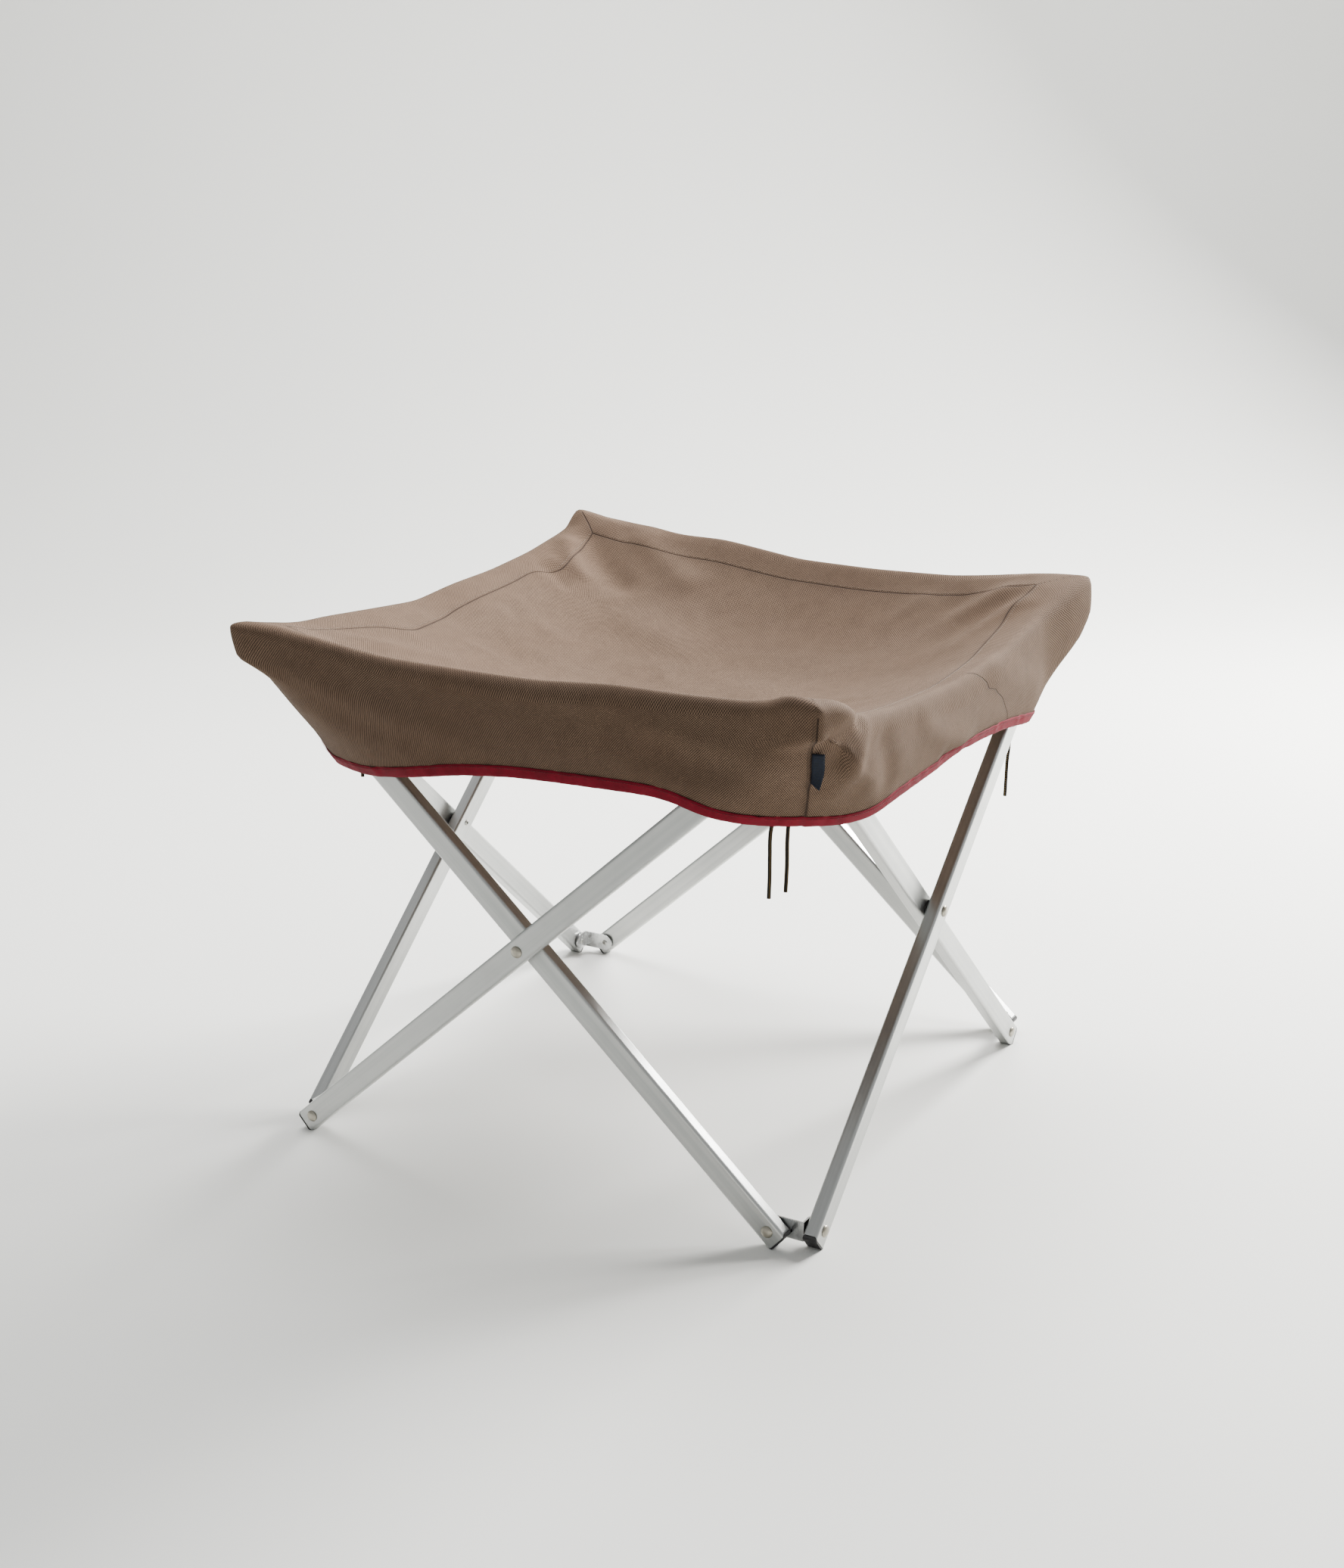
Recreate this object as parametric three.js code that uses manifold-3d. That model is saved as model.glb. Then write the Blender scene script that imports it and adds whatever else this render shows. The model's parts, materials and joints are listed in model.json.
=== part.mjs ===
// Folding camp stool: four scissor sides of flat aluminium tube, joined at the corners, with a
// canvas seat cover stretched over the four top corners. Millimetres, +Z up, standing on Z = 0.
import * as THREE from 'three';
import * as BufferGeometryUtils from 'three/addons/utils/BufferGeometryUtils.js';
import { RoundedBoxGeometry } from 'three/addons/geometries/RoundedBoxGeometry.js';
import Module from 'manifold-3d';

const wasm = await Module();
wasm.setup();

// ---- Driving dimensions ---------------------------------------------------------------------
const BAR_WIDTH = 25;              // flat tube, seen from the side of the stool
const BAR_THICK = 15;
const BAR_EDGE = 3;                // rounding of the tube's four long edges
const WALL = 1.5;
const PIVOT_SPAN = 718.2;          // corner pivot to corner pivot along one bar
const REST_ANGLE = THREE.MathUtils.degToRad(41.7);
const BAR_END = 16;                // corner pivot to the outside of the end plug
const PLUG_LIP = 2;
const PLUG_SHANK = 14;
const END_RADIUS = 5;              // rounded corners of a bar's end
const FOOT_FLAT = 0.4;             // depth of the small flat that a foot plug stands on
const OUTER_PLANE = 308;           // stool centre to the middle of an outer bar's thickness
const BAR_GAP = 3.3;               // spacer between the two bars of a side
const WASHER = 1.5;                // between a bar and its corner piece
const RIVET_R = 2.5;
const RIVET_HEAD_R = 4.4;
const RIVET_HEAD_H = 2.2;
const RIVET_TAIL_R = 3.6;
const CLEAR = 0.3;                 // gap kept between neighbouring pieces
const BRACKET_THICK = 2;
const CORNER_THICK = 3;
const FLANGE_HALF = 10;            // half the height of a flange, and its round end's radius
const HEAD_HALF = 322;             // outside of the moulded corner that fills the cover's corner
const HEAD_SIZE = 28;
const HEAD_BOTTOM = 516;
const HEAD_TOP = 538;
const HEAD_EDGE = 5;
const POST_SIZE = 11;              // post between a corner's flanges and its head
const POST_OVERLAP = 6;            // how far the post runs up into the head
const COVER_THICK = 2.5;
const COVER_HALF = 328;            // outside of the cover at its top edge
const COVER_TAPER = 6;             // the skirt leans in by this much on the way down
const CORNER_TOP = 556;            // height of the cover's corners
const EDGE_SAG = 18;               // dip of each top edge between two corners
const SEAT_SAG = 54;               // further dip of the seat at the centre
const FLAT_SHARE = 0.87;           // part of the half width where the corner's flat top begins
const PANEL_INSET = 3;             // the seat panel ends here, inside the top edge
const HEM_MIDDLE = 432;            // height of the skirt's lower edge
const HEM_CORNER = 414;            // its height if it reached the square corner
const TUCK_START = 522;            // below this height the skirt's corners are drawn in
const SHARP_RADIUS = 8;
const HEM_RADIUS = 115;
const TUCK_POWER = 0.9;
const BINDING_HEIGHT = 9;
const BINDING_THICK = 1;
const CORD_R = 1.9;
const LABEL = { width: 15, thick: 1.2, height: 30, corner: 316, middle: 482 };

// ---- Derived places --------------------------------------------------------------------------
const EXTRA = 1;                   // cutting tools run this much past what they cut
const INNER_PLANE = OUTER_PLANE - BAR_THICK - BAR_GAP;
const HALF_SPAN_X = PIVOT_SPAN / 2 * Math.cos(REST_ANGLE);
const END_CENTRE = BAR_END - END_RADIUS;
const PIVOT_LOW = END_CENTRE * Math.sin(REST_ANGLE)
  + (BAR_WIDTH / 2 - END_RADIUS) * Math.cos(REST_ANGLE) + END_RADIUS - FOOT_FLAT;
const PIVOT_HIGH = PIVOT_LOW + PIVOT_SPAN * Math.sin(REST_ANGLE);
const PIVOT_MID = (PIVOT_LOW + PIVOT_HIGH) / 2;
const OUTER_BACK = -OUTER_PLANE + BAR_THICK / 2;   // inner face of an outer bar, in a side's frame
const INNER_BACK = -INNER_PLANE + BAR_THICK / 2;

// ---- Materials ---------------------------------------------------------------------------------
const MATERIALS = {
  aluminium: { color: 0xb9bab6, roughness: 0.32, metalness: 0.9 },
  steel: { color: 0xc9cacb, roughness: 0.2, metalness: 1.0 },
  plastic: { color: 0x17171a, roughness: 0.5, metalness: 0.0 },
  canvas: { color: 0x7c6a5b, roughness: 0.9, metalness: 0.0 },
  binding: { color: 0x8a1f2c, roughness: 0.8, metalness: 0.0 },
  label: { color: 0x1b2330, roughness: 0.75, metalness: 0.0 },
  cord: { color: 0x141416, roughness: 0.85, metalness: 0.0 },
};

function named(name, geometry, look) {
  const mesh = new THREE.Mesh(geometry, new THREE.MeshStandardMaterial(MATERIALS[look]));
  mesh.name = name;
  return mesh;
}

// ---- Solid helpers -----------------------------------------------------------------------------
function solidOf(geometry) {
  let bare = geometry.clone();
  bare.deleteAttribute('normal');
  bare.deleteAttribute('uv');
  bare = BufferGeometryUtils.mergeVertices(bare, 1e-4);
  return new wasm.Manifold(new wasm.Mesh({
    numProp: 3,
    vertProperties: new Float32Array(bare.attributes.position.array),
    triVerts: new Uint32Array(bare.index.array),
  }));
}

function geometryOf(solid) {
  const mesh = solid.getMesh();
  const geometry = new THREE.BufferGeometry();
  geometry.setAttribute('position', new THREE.BufferAttribute(new Float32Array(mesh.vertProperties), 3));
  geometry.setIndex(new THREE.BufferAttribute(new Uint32Array(mesh.triVerts), 1));
  geometry.computeVertexNormals();
  return geometry;
}

// A closed surface from rings of points; each ring and the list of rings may close on itself.
function ringSolid(rings, ringsClose) {
  const count = rings[0].length;
  const points = rings.flat();
  const triangles = [];
  const last = ringsClose ? rings.length : rings.length - 1;
  for (let i = 0; i < last; i += 1) {
    const next = (i + 1) % rings.length;
    for (let j = 0; j < count; j += 1) {
      const right = (j + 1) % count;
      const corners = [i * count + j, i * count + right, next * count + right, next * count + j];
      triangles.push(corners[0], corners[1], corners[2], corners[0], corners[2], corners[3]);
    }
  }
  return { points, triangles, count };
}

function closedGeometry({ points, triangles }) {
  const geometry = new THREE.BufferGeometry();
  const numbers = points.flatMap((p) => [p.x, p.y, p.z]);
  geometry.setAttribute('position', new THREE.BufferAttribute(new Float32Array(numbers), 3));
  geometry.setIndex(triangles);
  geometry.computeVertexNormals();
  return geometry;
}

function roundedRect(width, height, radius) {
  const shape = new THREE.Shape();
  const [x, y] = [width / 2, height / 2];
  shape.moveTo(-x + radius, -y);
  shape.lineTo(x - radius, -y);
  shape.absarc(x - radius, -y + radius, radius, -Math.PI / 2, 0);
  shape.lineTo(x, y - radius);
  shape.absarc(x - radius, y - radius, radius, 0, Math.PI / 2);
  shape.lineTo(-x + radius, y);
  shape.absarc(-x + radius, y - radius, radius, Math.PI / 2, Math.PI);
  shape.lineTo(-x, -y + radius);
  shape.absarc(-x + radius, -y + radius, radius, Math.PI, 1.5 * Math.PI);
  return shape;
}

// The shape in its own plane, extruded along Z and centred on it.
function plate(shape, depth, curveSegments = 2) {
  const geometry = new THREE.ExtrudeGeometry(shape, { depth, curveSegments, bevelEnabled: false });
  return geometry.translate(0, 0, -depth / 2);
}

// A prism along X with a rounded section: Y is the bar's width and Z its thickness.
function prismX(length, width, thick, radius) {
  return plate(roundedRect(thick, width, radius), length).rotateY(Math.PI / 2);
}

function boreZ(radius, length, x) {
  return solidOf(new THREE.CylinderGeometry(radius, radius, length, 8).rotateX(Math.PI / 2)
    .translate(x, 0, 0));
}

// ---- Bars and their end plugs --------------------------------------------------------------------
// In a bar's own frame X runs along it, Z across its width and Y through its thickness.
const BAR_LENGTH = PIVOT_SPAN + 2 * (BAR_END - PLUG_LIP);
const PLUG_TIP = PIVOT_SPAN / 2 + BAR_END;
const TUBE_END_RADIUS = END_RADIUS - 1;

function barGeometry() {
  const section = solidOf(prismX(BAR_LENGTH + EXTRA, BAR_WIDTH, BAR_THICK, BAR_EDGE));
  const outline = solidOf(plate(roundedRect(BAR_LENGTH, BAR_WIDTH, TUBE_END_RADIUS), BAR_THICK + EXTRA));
  const hollow = solidOf(prismX(BAR_LENGTH + 2 * EXTRA, BAR_WIDTH - 2 * WALL, BAR_THICK - 2 * WALL, WALL));
  let bar = section.intersect(outline).subtract(hollow);
  for (const x of [-PIVOT_SPAN / 2, 0, PIVOT_SPAN / 2]) {
    bar = bar.subtract(boreZ(RIVET_R + CLEAR, BAR_THICK + 2 * EXTRA, x));
  }
  return geometryOf(bar).rotateX(Math.PI / 2);
}

function plugSolid() {
  const lipLength = 2 * PLUG_TIP;
  const outer = solidOf(plate(roundedRect(lipLength, BAR_WIDTH, END_RADIUS), BAR_THICK + EXTRA));
  const skin = solidOf(prismX(lipLength + EXTRA, BAR_WIDTH, BAR_THICK, BAR_EDGE));
  const grown = roundedRect(BAR_LENGTH + 2 * CLEAR, BAR_WIDTH + 2 * CLEAR, TUBE_END_RADIUS + CLEAR);
  const bar = solidOf(plate(grown, BAR_THICK + 2 * EXTRA));
  const farHalf = solidOf(new THREE.BoxGeometry(PLUG_TIP, BAR_WIDTH * 2, BAR_THICK * 2)
    .translate(PLUG_TIP, 0, 0));
  const lip = outer.intersect(skin).intersect(farHalf).subtract(bar);
  const shankWidth = BAR_WIDTH - 2 * WALL - 2 * CLEAR;
  const shankThick = BAR_THICK - 2 * WALL - 2 * CLEAR;
  // The shank stops short of the pivot's rivet.
  const shankLength = PLUG_SHANK - RIVET_R - 2 * CLEAR;
  const shank = solidOf(prismX(shankLength, shankWidth, shankThick, WALL - CLEAR)
    .translate(PLUG_TIP - PLUG_LIP / 2 - shankLength / 2, 0, 0));
  return lip.add(shank);
}

function topPlugGeometry() {
  return geometryOf(plugSolid()).rotateX(Math.PI / 2);
}

// A foot plug has its lower corner cut flat, level with the floor when the stool is open.
function footPlugGeometry(rise) {
  const down = new THREE.Vector2(Math.sin(REST_ANGLE), rise * Math.cos(REST_ANGLE));
  const reach = END_RADIUS - FOOT_FLAT + BAR_WIDTH / 2;
  const floor = new THREE.BoxGeometry(BAR_WIDTH, BAR_WIDTH, BAR_WIDTH)
    .rotateZ(down.angle())
    .translate(
      PLUG_TIP - END_RADIUS + reach * down.x,
      rise * (BAR_WIDTH / 2 - END_RADIUS) + reach * down.y,
      0,
    );
  return geometryOf(plugSolid().subtract(solidOf(floor))).rotateX(Math.PI / 2);
}

// ---- Rivets --------------------------------------------------------------------------------------
const RIVET_SIDES = 10;
const RIVET_DOME = [[0, 1], [0.55, 0.86], [0.88, 0.46], [1, 0]];         // shares of radius and height
const RIVET_ROLL = [[1, 0], [0.45, 1.2], [0.4, -1], [0, -1]];            // share of radius, and rise

// Along Y in a side's frame: the domed head sits outside, the rolled tail inside.
function rivetGeometry(headFace, tailFace) {
  const under = headFace - CLEAR;
  const tail = tailFace + CLEAR;
  const dome = RIVET_DOME.map(([r, rise]) => [r * RIVET_HEAD_R, under - rise * RIVET_HEAD_H]);
  const rolled = RIVET_ROLL.map(([r, rise]) => [r * RIVET_TAIL_R, tail + rise]);
  const profile = [...dome, [RIVET_R, under], [RIVET_R, tail], ...rolled];
  return new THREE.LatheGeometry(profile.map(([r, y]) => new THREE.Vector2(r, y)), RIVET_SIDES);
}

function closedLathe(geometry) {
  return geometryOf(solidOf(geometry));
}

// ---- Corner pieces -------------------------------------------------------------------------------
const FLANGE_SEGMENTS = 6;

// A flange in the XZ plane of a side, from X = -fold to a round end about the pivot.
function flange(fold, pivotZ, thick) {
  const shape = new THREE.Shape();
  shape.moveTo(-fold, -FLANGE_HALF);
  shape.lineTo(-HALF_SPAN_X, -FLANGE_HALF);
  shape.absarc(-HALF_SPAN_X, 0, FLANGE_HALF, -Math.PI / 2, Math.PI / 2);
  shape.lineTo(-fold, FLANGE_HALF);
  shape.closePath();
  const hole = new THREE.Path();
  hole.absarc(-HALF_SPAN_X, 0, RIVET_R + CLEAR, 0, 2 * Math.PI, true);
  shape.holes.push(hole);
  return plate(shape, thick, FLANGE_SEGMENTS).rotateX(Math.PI / 2).translate(0, 0, pivotZ);
}

// Mirrors a side-frame solid across the corner's diagonal, so X and Y change places.
function acrossDiagonal(geometry) {
  return geometry.rotateZ(Math.PI / 2).scale(-1, 1, 1);
}

function flipWinding(geometry) {
  const index = geometry.index ? geometry : BufferGeometryUtils.mergeVertices(geometry);
  const order = index.index.array;
  for (let i = 0; i < order.length; i += 3) {
    [order[i], order[i + 1]] = [order[i + 1], order[i]];
  }
  return index;
}

// The two flanges meet at the fold: one lies on this side's bar, one on the neighbour's bar.
function foldedPair(thisBack, otherBack, pivotZ, thick) {
  const thisFace = thisBack + WASHER;
  const otherFace = otherBack + WASHER;
  const along = flange(-otherFace, pivotZ, thick).translate(0, thisFace + thick / 2, 0);
  const across = flange(-thisFace, pivotZ, thick).translate(0, otherFace + thick / 2, 0);
  return solidOf(along).add(solidOf(flipWinding(acrossDiagonal(across))));
}

function bottomBracketGeometry() {
  return geometryOf(foldedPair(OUTER_BACK, INNER_BACK, PIVOT_LOW, BRACKET_THICK));
}

function box(x0, x1, y0, y1, z0, z1) {
  return new THREE.BoxGeometry(x1 - x0, y1 - y0, z1 - z0)
    .translate((x0 + x1) / 2, (y0 + y1) / 2, (z0 + z1) / 2);
}

function topCornerGeometry() {
  const flanges = foldedPair(INNER_BACK, OUTER_BACK, PIVOT_HIGH, CORNER_THICK);
  const outerFace = OUTER_BACK + WASHER;
  const innerEnd = INNER_BACK + WASHER + CORNER_THICK;
  const post = solidOf(box(outerFace, outerFace + POST_SIZE, outerFace + EXTRA, innerEnd,
    PIVOT_HIGH - FLANGE_HALF, HEAD_BOTTOM + POST_OVERLAP));
  const height = HEAD_TOP - HEAD_BOTTOM;
  const centre = -HEAD_HALF + HEAD_SIZE / 2;
  const head = solidOf(new RoundedBoxGeometry(HEAD_SIZE, HEAD_SIZE, height, 1, HEAD_EDGE)
    .translate(centre, centre, (HEAD_TOP + HEAD_BOTTOM) / 2));
  return geometryOf(flanges.add(post).add(head));
}

// ---- Seat cover --------------------------------------------------------------------------------
const RING_CORNER = 4;             // points on each rounded corner
const RING_SIDE = 8;               // points along each straight stretch
const PANEL_SHARES = [0.04, 0.24, 0.45, 0.65, 0.82, 0.94];
const SKIRT_LEVELS = [0.03, 0.14, 0.28, 0.46, 0.65, 0.82, 1];
const SAG_POWER = 0.8;

// A rounded square with RING_CORNER + RING_SIDE points to each side.
function squareRing(half, radius, heightAt) {
  const ring = [];
  for (let side = 0; side < 4; side += 1) {
    const turn = side * Math.PI / 2;
    for (let i = 0; i < RING_CORNER; i += 1) {
      const angle = turn + Math.PI / 2 * i / (RING_CORNER - 1);
      const centre = new THREE.Vector2(half - radius, half - radius).rotateAround(new THREE.Vector2(), turn);
      ring.push([centre.x + radius * Math.cos(angle), centre.y + radius * Math.sin(angle)]);
    }
    for (let i = 1; i <= RING_SIDE; i += 1) {
      const along = (half - radius) * (1 - 2 * i / (RING_SIDE + 1));
      const point = new THREE.Vector2(along, half).rotateAround(new THREE.Vector2(), turn);
      ring.push([point.x, point.y]);
    }
  }
  return ring.map(([x, y]) => new THREE.Vector3(x, y, heightAt(x, y, half)));
}

function dip(share) {
  return 1 - Math.min(1, Math.abs(share) / FLAT_SHARE) ** 2;
}

function seatHeight(x, y) {
  const [dipX, dipY] = [dip(x / COVER_HALF), dip(y / COVER_HALF)];
  return CORNER_TOP - EDGE_SAG * (dipX + dipY) - SEAT_SAG * (dipX * dipY) ** SAG_POWER;
}

function hemHeight(x, y) {
  const share = Math.min(Math.abs(x), Math.abs(y)) / (COVER_HALF - COVER_TAPER);
  return HEM_MIDDLE - (HEM_MIDDLE - HEM_CORNER) * Math.min(1, share) ** 2;
}

function tuckRadius(height) {
  const share = Math.max(0, (TUCK_START - height) / (TUCK_START - HEM_CORNER));
  return SHARP_RADIUS + (HEM_RADIUS - SHARP_RADIUS) * Math.min(1, share) ** TUCK_POWER;
}

// inset 0 is the cover's outside; a positive inset is the same surface moved into the cloth.
function coverRings(inset) {
  const rings = [];
  const panelHeight = (x, y) => seatHeight(x, y) - inset;
  for (const share of PANEL_SHARES) {
    const half = share * (COVER_HALF - PANEL_INSET);
    rings.push(squareRing(half, Math.min(half / 2, 30 + half / 10), panelHeight));
  }
  rings.push(squareRing(COVER_HALF - PANEL_INSET - inset, SHARP_RADIUS - PANEL_INSET, panelHeight));
  for (const level of SKIRT_LEVELS) {
    const height = CORNER_TOP - level * (CORNER_TOP - HEM_CORNER);
    const half = COVER_HALF - COVER_TAPER * level - inset;
    const radius = tuckRadius(height) - inset;
    rings.push(squareRing(half, radius, (x, y) => {
      const top = seatHeight(x, y) - inset;
      return top + (hemHeight(x, y) - top) * level;
    }));
  }
  return rings;
}

function coverGeometry() {
  const outside = coverRings(0);
  const inside = coverRings(COVER_THICK).reverse();
  const shell = ringSolid([...outside, ...inside], false);
  const lastRing = (outside.length + inside.length - 1) * shell.count;
  const height = seatHeight(0, 0);
  const topCentre = shell.points.push(new THREE.Vector3(0, 0, height)) - 1;
  const lowCentre = shell.points.push(new THREE.Vector3(0, 0, height - COVER_THICK)) - 1;
  for (let j = 0; j < shell.count; j += 1) {
    const right = (j + 1) % shell.count;
    shell.triangles.push(topCentre, right, j);
    shell.triangles.push(lowCentre, lastRing + j, lastRing + right);
  }
  return closedGeometry({ points: shell.points, triangles: reversed(shell.triangles) });
}

function reversed(triangles) {
  const turned = [];
  for (let i = 0; i < triangles.length; i += 3) {
    turned.push(triangles[i], triangles[i + 2], triangles[i + 1]);
  }
  return turned;
}

// A folded tape round the skirt's lower edge: a channel in section, swept along the hem.
function bindingGeometry() {
  const gap = 1.2 * CLEAR;
  const section = [
    [gap, BINDING_HEIGHT], [gap, -gap], [-COVER_THICK - gap, -gap], [-COVER_THICK - gap, BINDING_HEIGHT],
    [-COVER_THICK - gap - BINDING_THICK, BINDING_HEIGHT],
    [-COVER_THICK - gap - BINDING_THICK, -gap - BINDING_THICK],
    [gap + BINDING_THICK, -gap - BINDING_THICK], [gap + BINDING_THICK, BINDING_HEIGHT],
  ];
  const half = COVER_HALF - COVER_TAPER;
  const lean = COVER_TAPER / (CORNER_TOP - HEM_CORNER);
  const rings = section.map(([out, up]) => squareRing(
    half + out + up * lean,
    tuckRadius(HEM_CORNER + Math.max(0, up)) + out,
    (x, y) => hemHeight(x, y) + up,
  ));
  const channel = ringSolid(rings, true);
  return closedGeometry(channel);
}

// A small folded tab sewn into the front corner's seam.
function labelGeometry() {
  const { width, thick, height, corner, middle } = LABEL;
  const tab = new RoundedBoxGeometry(width, thick, height, 1, thick / 3);
  return tab.translate(width / 2, 0, 0).rotateZ(-Math.PI / 4).translate(-corner, -corner, middle);
}

// ---- Tie cords -----------------------------------------------------------------------------------
// Each hangs from the inside of the skirt's corner. Points are [x, y, z], chosen to hang freely.
const CORDS = {
  tie_cord_front_a: [[-270, -266, 446], [-278, -262, 432], [-283, -259, 412], [-284, -259, 388],
    [-282, -258, 368], [-283, -258, 348]],
  tie_cord_front_b: [[-265, -272, 446], [-271, -272, 430], [-273, -271, 405], [-275, -272, 380],
    [-277, -272, 355]],
  tie_cord_left: [[-262, 262, 446], [-252, 252, 436], [-243, 243, 424], [-240, 240, 404],
    [-240, 240, 380]],
  tie_cord_right: [[264, -264, 446], [266, -267, 425], [270, -273, 400],
    [272, -276, 372], [270, -275, 340], [271, -274, 302]],
};

function cordGeometry(points) {
  const curve = new THREE.CatmullRomCurve3(points.map((p) => new THREE.Vector3(...p)));
  const section = new THREE.Shape();
  section.absarc(0, 0, CORD_R, 0, 2 * Math.PI);
  const steps = Math.ceil(curve.getLength() / (5 * CORD_R));
  return new THREE.ExtrudeGeometry(section, { steps, extrudePath: curve, curveSegments: 4 });
}

// ---- The stool ---------------------------------------------------------------------------------
// Each side has its own frame: X to the right seen from outside, Y inwards. Its left corner's
// pieces belong to it; its right corner's belong to the next side round.
const SIDES = [
  { side: 'front_right', corner: 'front' },
  { side: 'back_right', corner: 'right' },
  { side: 'back_left', corner: 'back' },
  { side: 'front_left', corner: 'left' },
];

function bar(name, plane, rise) {
  const group = new THREE.Group();
  group.position.set(0, -plane, PIVOT_MID);
  group.rotation.y = -rise * REST_ANGLE;
  group.add(named(`${name}_bar`, barGeometry(), 'aluminium'));
  const topPlug = named(`${name}_top_plug`, topPlugGeometry(), 'plastic');
  const footPlug = named(`${name}_foot_plug`, footPlugGeometry(rise), 'plastic');
  const leftPlug = rise > 0 ? footPlug : topPlug;
  leftPlug.rotation.y = Math.PI;
  group.add(topPlug, footPlug);
  return group;
}

function rivet(name, x, z, headFace, tailFace) {
  const mesh = named(name, closedLathe(rivetGeometry(headFace, tailFace)), 'aluminium');
  mesh.position.set(x, 0, z);
  return mesh;
}

const stool = new THREE.Group();
SIDES.forEach(({ side, corner }, index) => {
  const frame = new THREE.Group();
  frame.rotation.z = index * Math.PI / 2;
  frame.add(bar(`${side}_outer`, OUTER_PLANE, 1));
  frame.add(bar(`${side}_inner`, INNER_PLANE, -1));
  const outerFront = OUTER_BACK - BAR_THICK;
  const innerFront = INNER_BACK - BAR_THICK;
  const low = WASHER + BRACKET_THICK;
  const high = WASHER + CORNER_THICK;
  frame.add(rivet(`${side}_outer_foot_rivet`, -HALF_SPAN_X, PIVOT_LOW, outerFront, OUTER_BACK + low));
  frame.add(rivet(`${side}_outer_top_rivet`, HALF_SPAN_X, PIVOT_HIGH, outerFront, OUTER_BACK + high));
  frame.add(rivet(`${side}_inner_foot_rivet`, HALF_SPAN_X, PIVOT_LOW, innerFront, INNER_BACK + low));
  frame.add(rivet(`${side}_inner_top_rivet`, -HALF_SPAN_X, PIVOT_HIGH, innerFront, INNER_BACK + high));
  frame.add(rivet(`${side}_centre_rivet`, 0, PIVOT_MID, outerFront, INNER_BACK));
  frame.add(named(`${corner}_foot_bracket`, bottomBracketGeometry(), 'steel'));
  frame.add(named(`${corner}_top_corner`, topCornerGeometry(), 'plastic'));
  stool.add(frame);
});
stool.add(named('seat_cover', coverGeometry(), 'canvas'));
stool.add(named('hem_binding', bindingGeometry(), 'binding'));
stool.add(named('side_label', labelGeometry(), 'label'));
for (const [name, points] of Object.entries(CORDS)) {
  stool.add(named(name, cordGeometry(points), 'cord'));
}

export default stool;
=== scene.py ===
"""Folding camp stool, dressed around its frame. Lengths in millimetres unless a name says otherwise."""

import json
import math

import bpy
import numpy as np
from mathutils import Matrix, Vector
from mathutils.kdtree import KDTree

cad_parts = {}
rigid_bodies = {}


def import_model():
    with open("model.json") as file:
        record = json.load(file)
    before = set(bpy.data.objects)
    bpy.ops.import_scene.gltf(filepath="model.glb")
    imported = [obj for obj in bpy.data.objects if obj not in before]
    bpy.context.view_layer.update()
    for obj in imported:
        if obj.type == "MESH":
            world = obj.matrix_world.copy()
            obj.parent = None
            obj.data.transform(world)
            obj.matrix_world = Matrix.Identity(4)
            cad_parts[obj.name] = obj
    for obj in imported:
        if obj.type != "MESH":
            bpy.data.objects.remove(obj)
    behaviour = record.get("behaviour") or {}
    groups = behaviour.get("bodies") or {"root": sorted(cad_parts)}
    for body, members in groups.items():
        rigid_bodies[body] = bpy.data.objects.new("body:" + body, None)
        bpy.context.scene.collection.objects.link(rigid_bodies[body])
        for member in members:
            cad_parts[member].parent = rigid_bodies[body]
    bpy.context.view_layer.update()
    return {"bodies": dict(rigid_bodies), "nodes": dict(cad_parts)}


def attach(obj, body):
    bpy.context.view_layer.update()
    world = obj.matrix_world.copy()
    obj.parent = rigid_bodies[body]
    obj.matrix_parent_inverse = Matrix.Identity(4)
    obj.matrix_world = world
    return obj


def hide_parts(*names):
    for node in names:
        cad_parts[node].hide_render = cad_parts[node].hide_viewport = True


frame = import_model()
BODIES, NODES = frame["bodies"], frame["nodes"]
MM = 0.001

SIDES = ("front_right", "back_right", "back_left", "front_left")
QUARTER = [(1, 0), (0, 1), (-1, 0), (0, -1)]  # cosine and sine of each side's turn about Z
REST_ANGLE = math.radians(41.7)  # the bars' slope


def new_object(name, data):
    obj = bpy.data.objects.new(name, data)
    bpy.context.scene.collection.objects.link(obj)
    return obj


def turned(points, k):
    """Side-frame points (X right, Y inwards) turned to side k."""
    c, s = QUARTER[k]
    x, y = points[..., 0], points[..., 1]
    out = points.copy()
    out[..., 0] = c * x - s * y
    out[..., 1] = s * x + c * y
    return out


def along_side(points, k):
    """How far points are along side k, from its middle."""
    c, s = QUARTER[k]
    return points[..., 0] * c + points[..., 1] * s


def lengths_along(line):
    """How far along a line of points each one is."""
    return np.concatenate([[0], np.cumsum(np.linalg.norm(np.diff(line, axis=0), axis=1))])


def between(at, marks, line):
    """Places on a line of points, one mark for each point."""
    return np.stack([np.interp(at, marks, column) for column in line.T], axis=-1)


# ---- Camera ----------------------------------------------
CAMERA_AT = Vector((-1.8877, -1.0786, 0.9965))
CAMERA_YAW, CAMERA_PITCH = -1.049, 0.291
CAMERA_LENS = 47.98


def make_camera():
    data = bpy.data.cameras.new("camera")
    data.lens = CAMERA_LENS
    camera = new_object("camera", data)
    forward = Vector((
        -math.sin(CAMERA_YAW) * math.cos(CAMERA_PITCH),
        math.cos(CAMERA_YAW) * math.cos(CAMERA_PITCH),
        -math.sin(CAMERA_PITCH),
    ))
    camera.location = CAMERA_AT
    camera.rotation_euler = forward.to_track_quat("-Z", "Y").to_euler()
    bpy.context.scene.camera = camera


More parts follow.
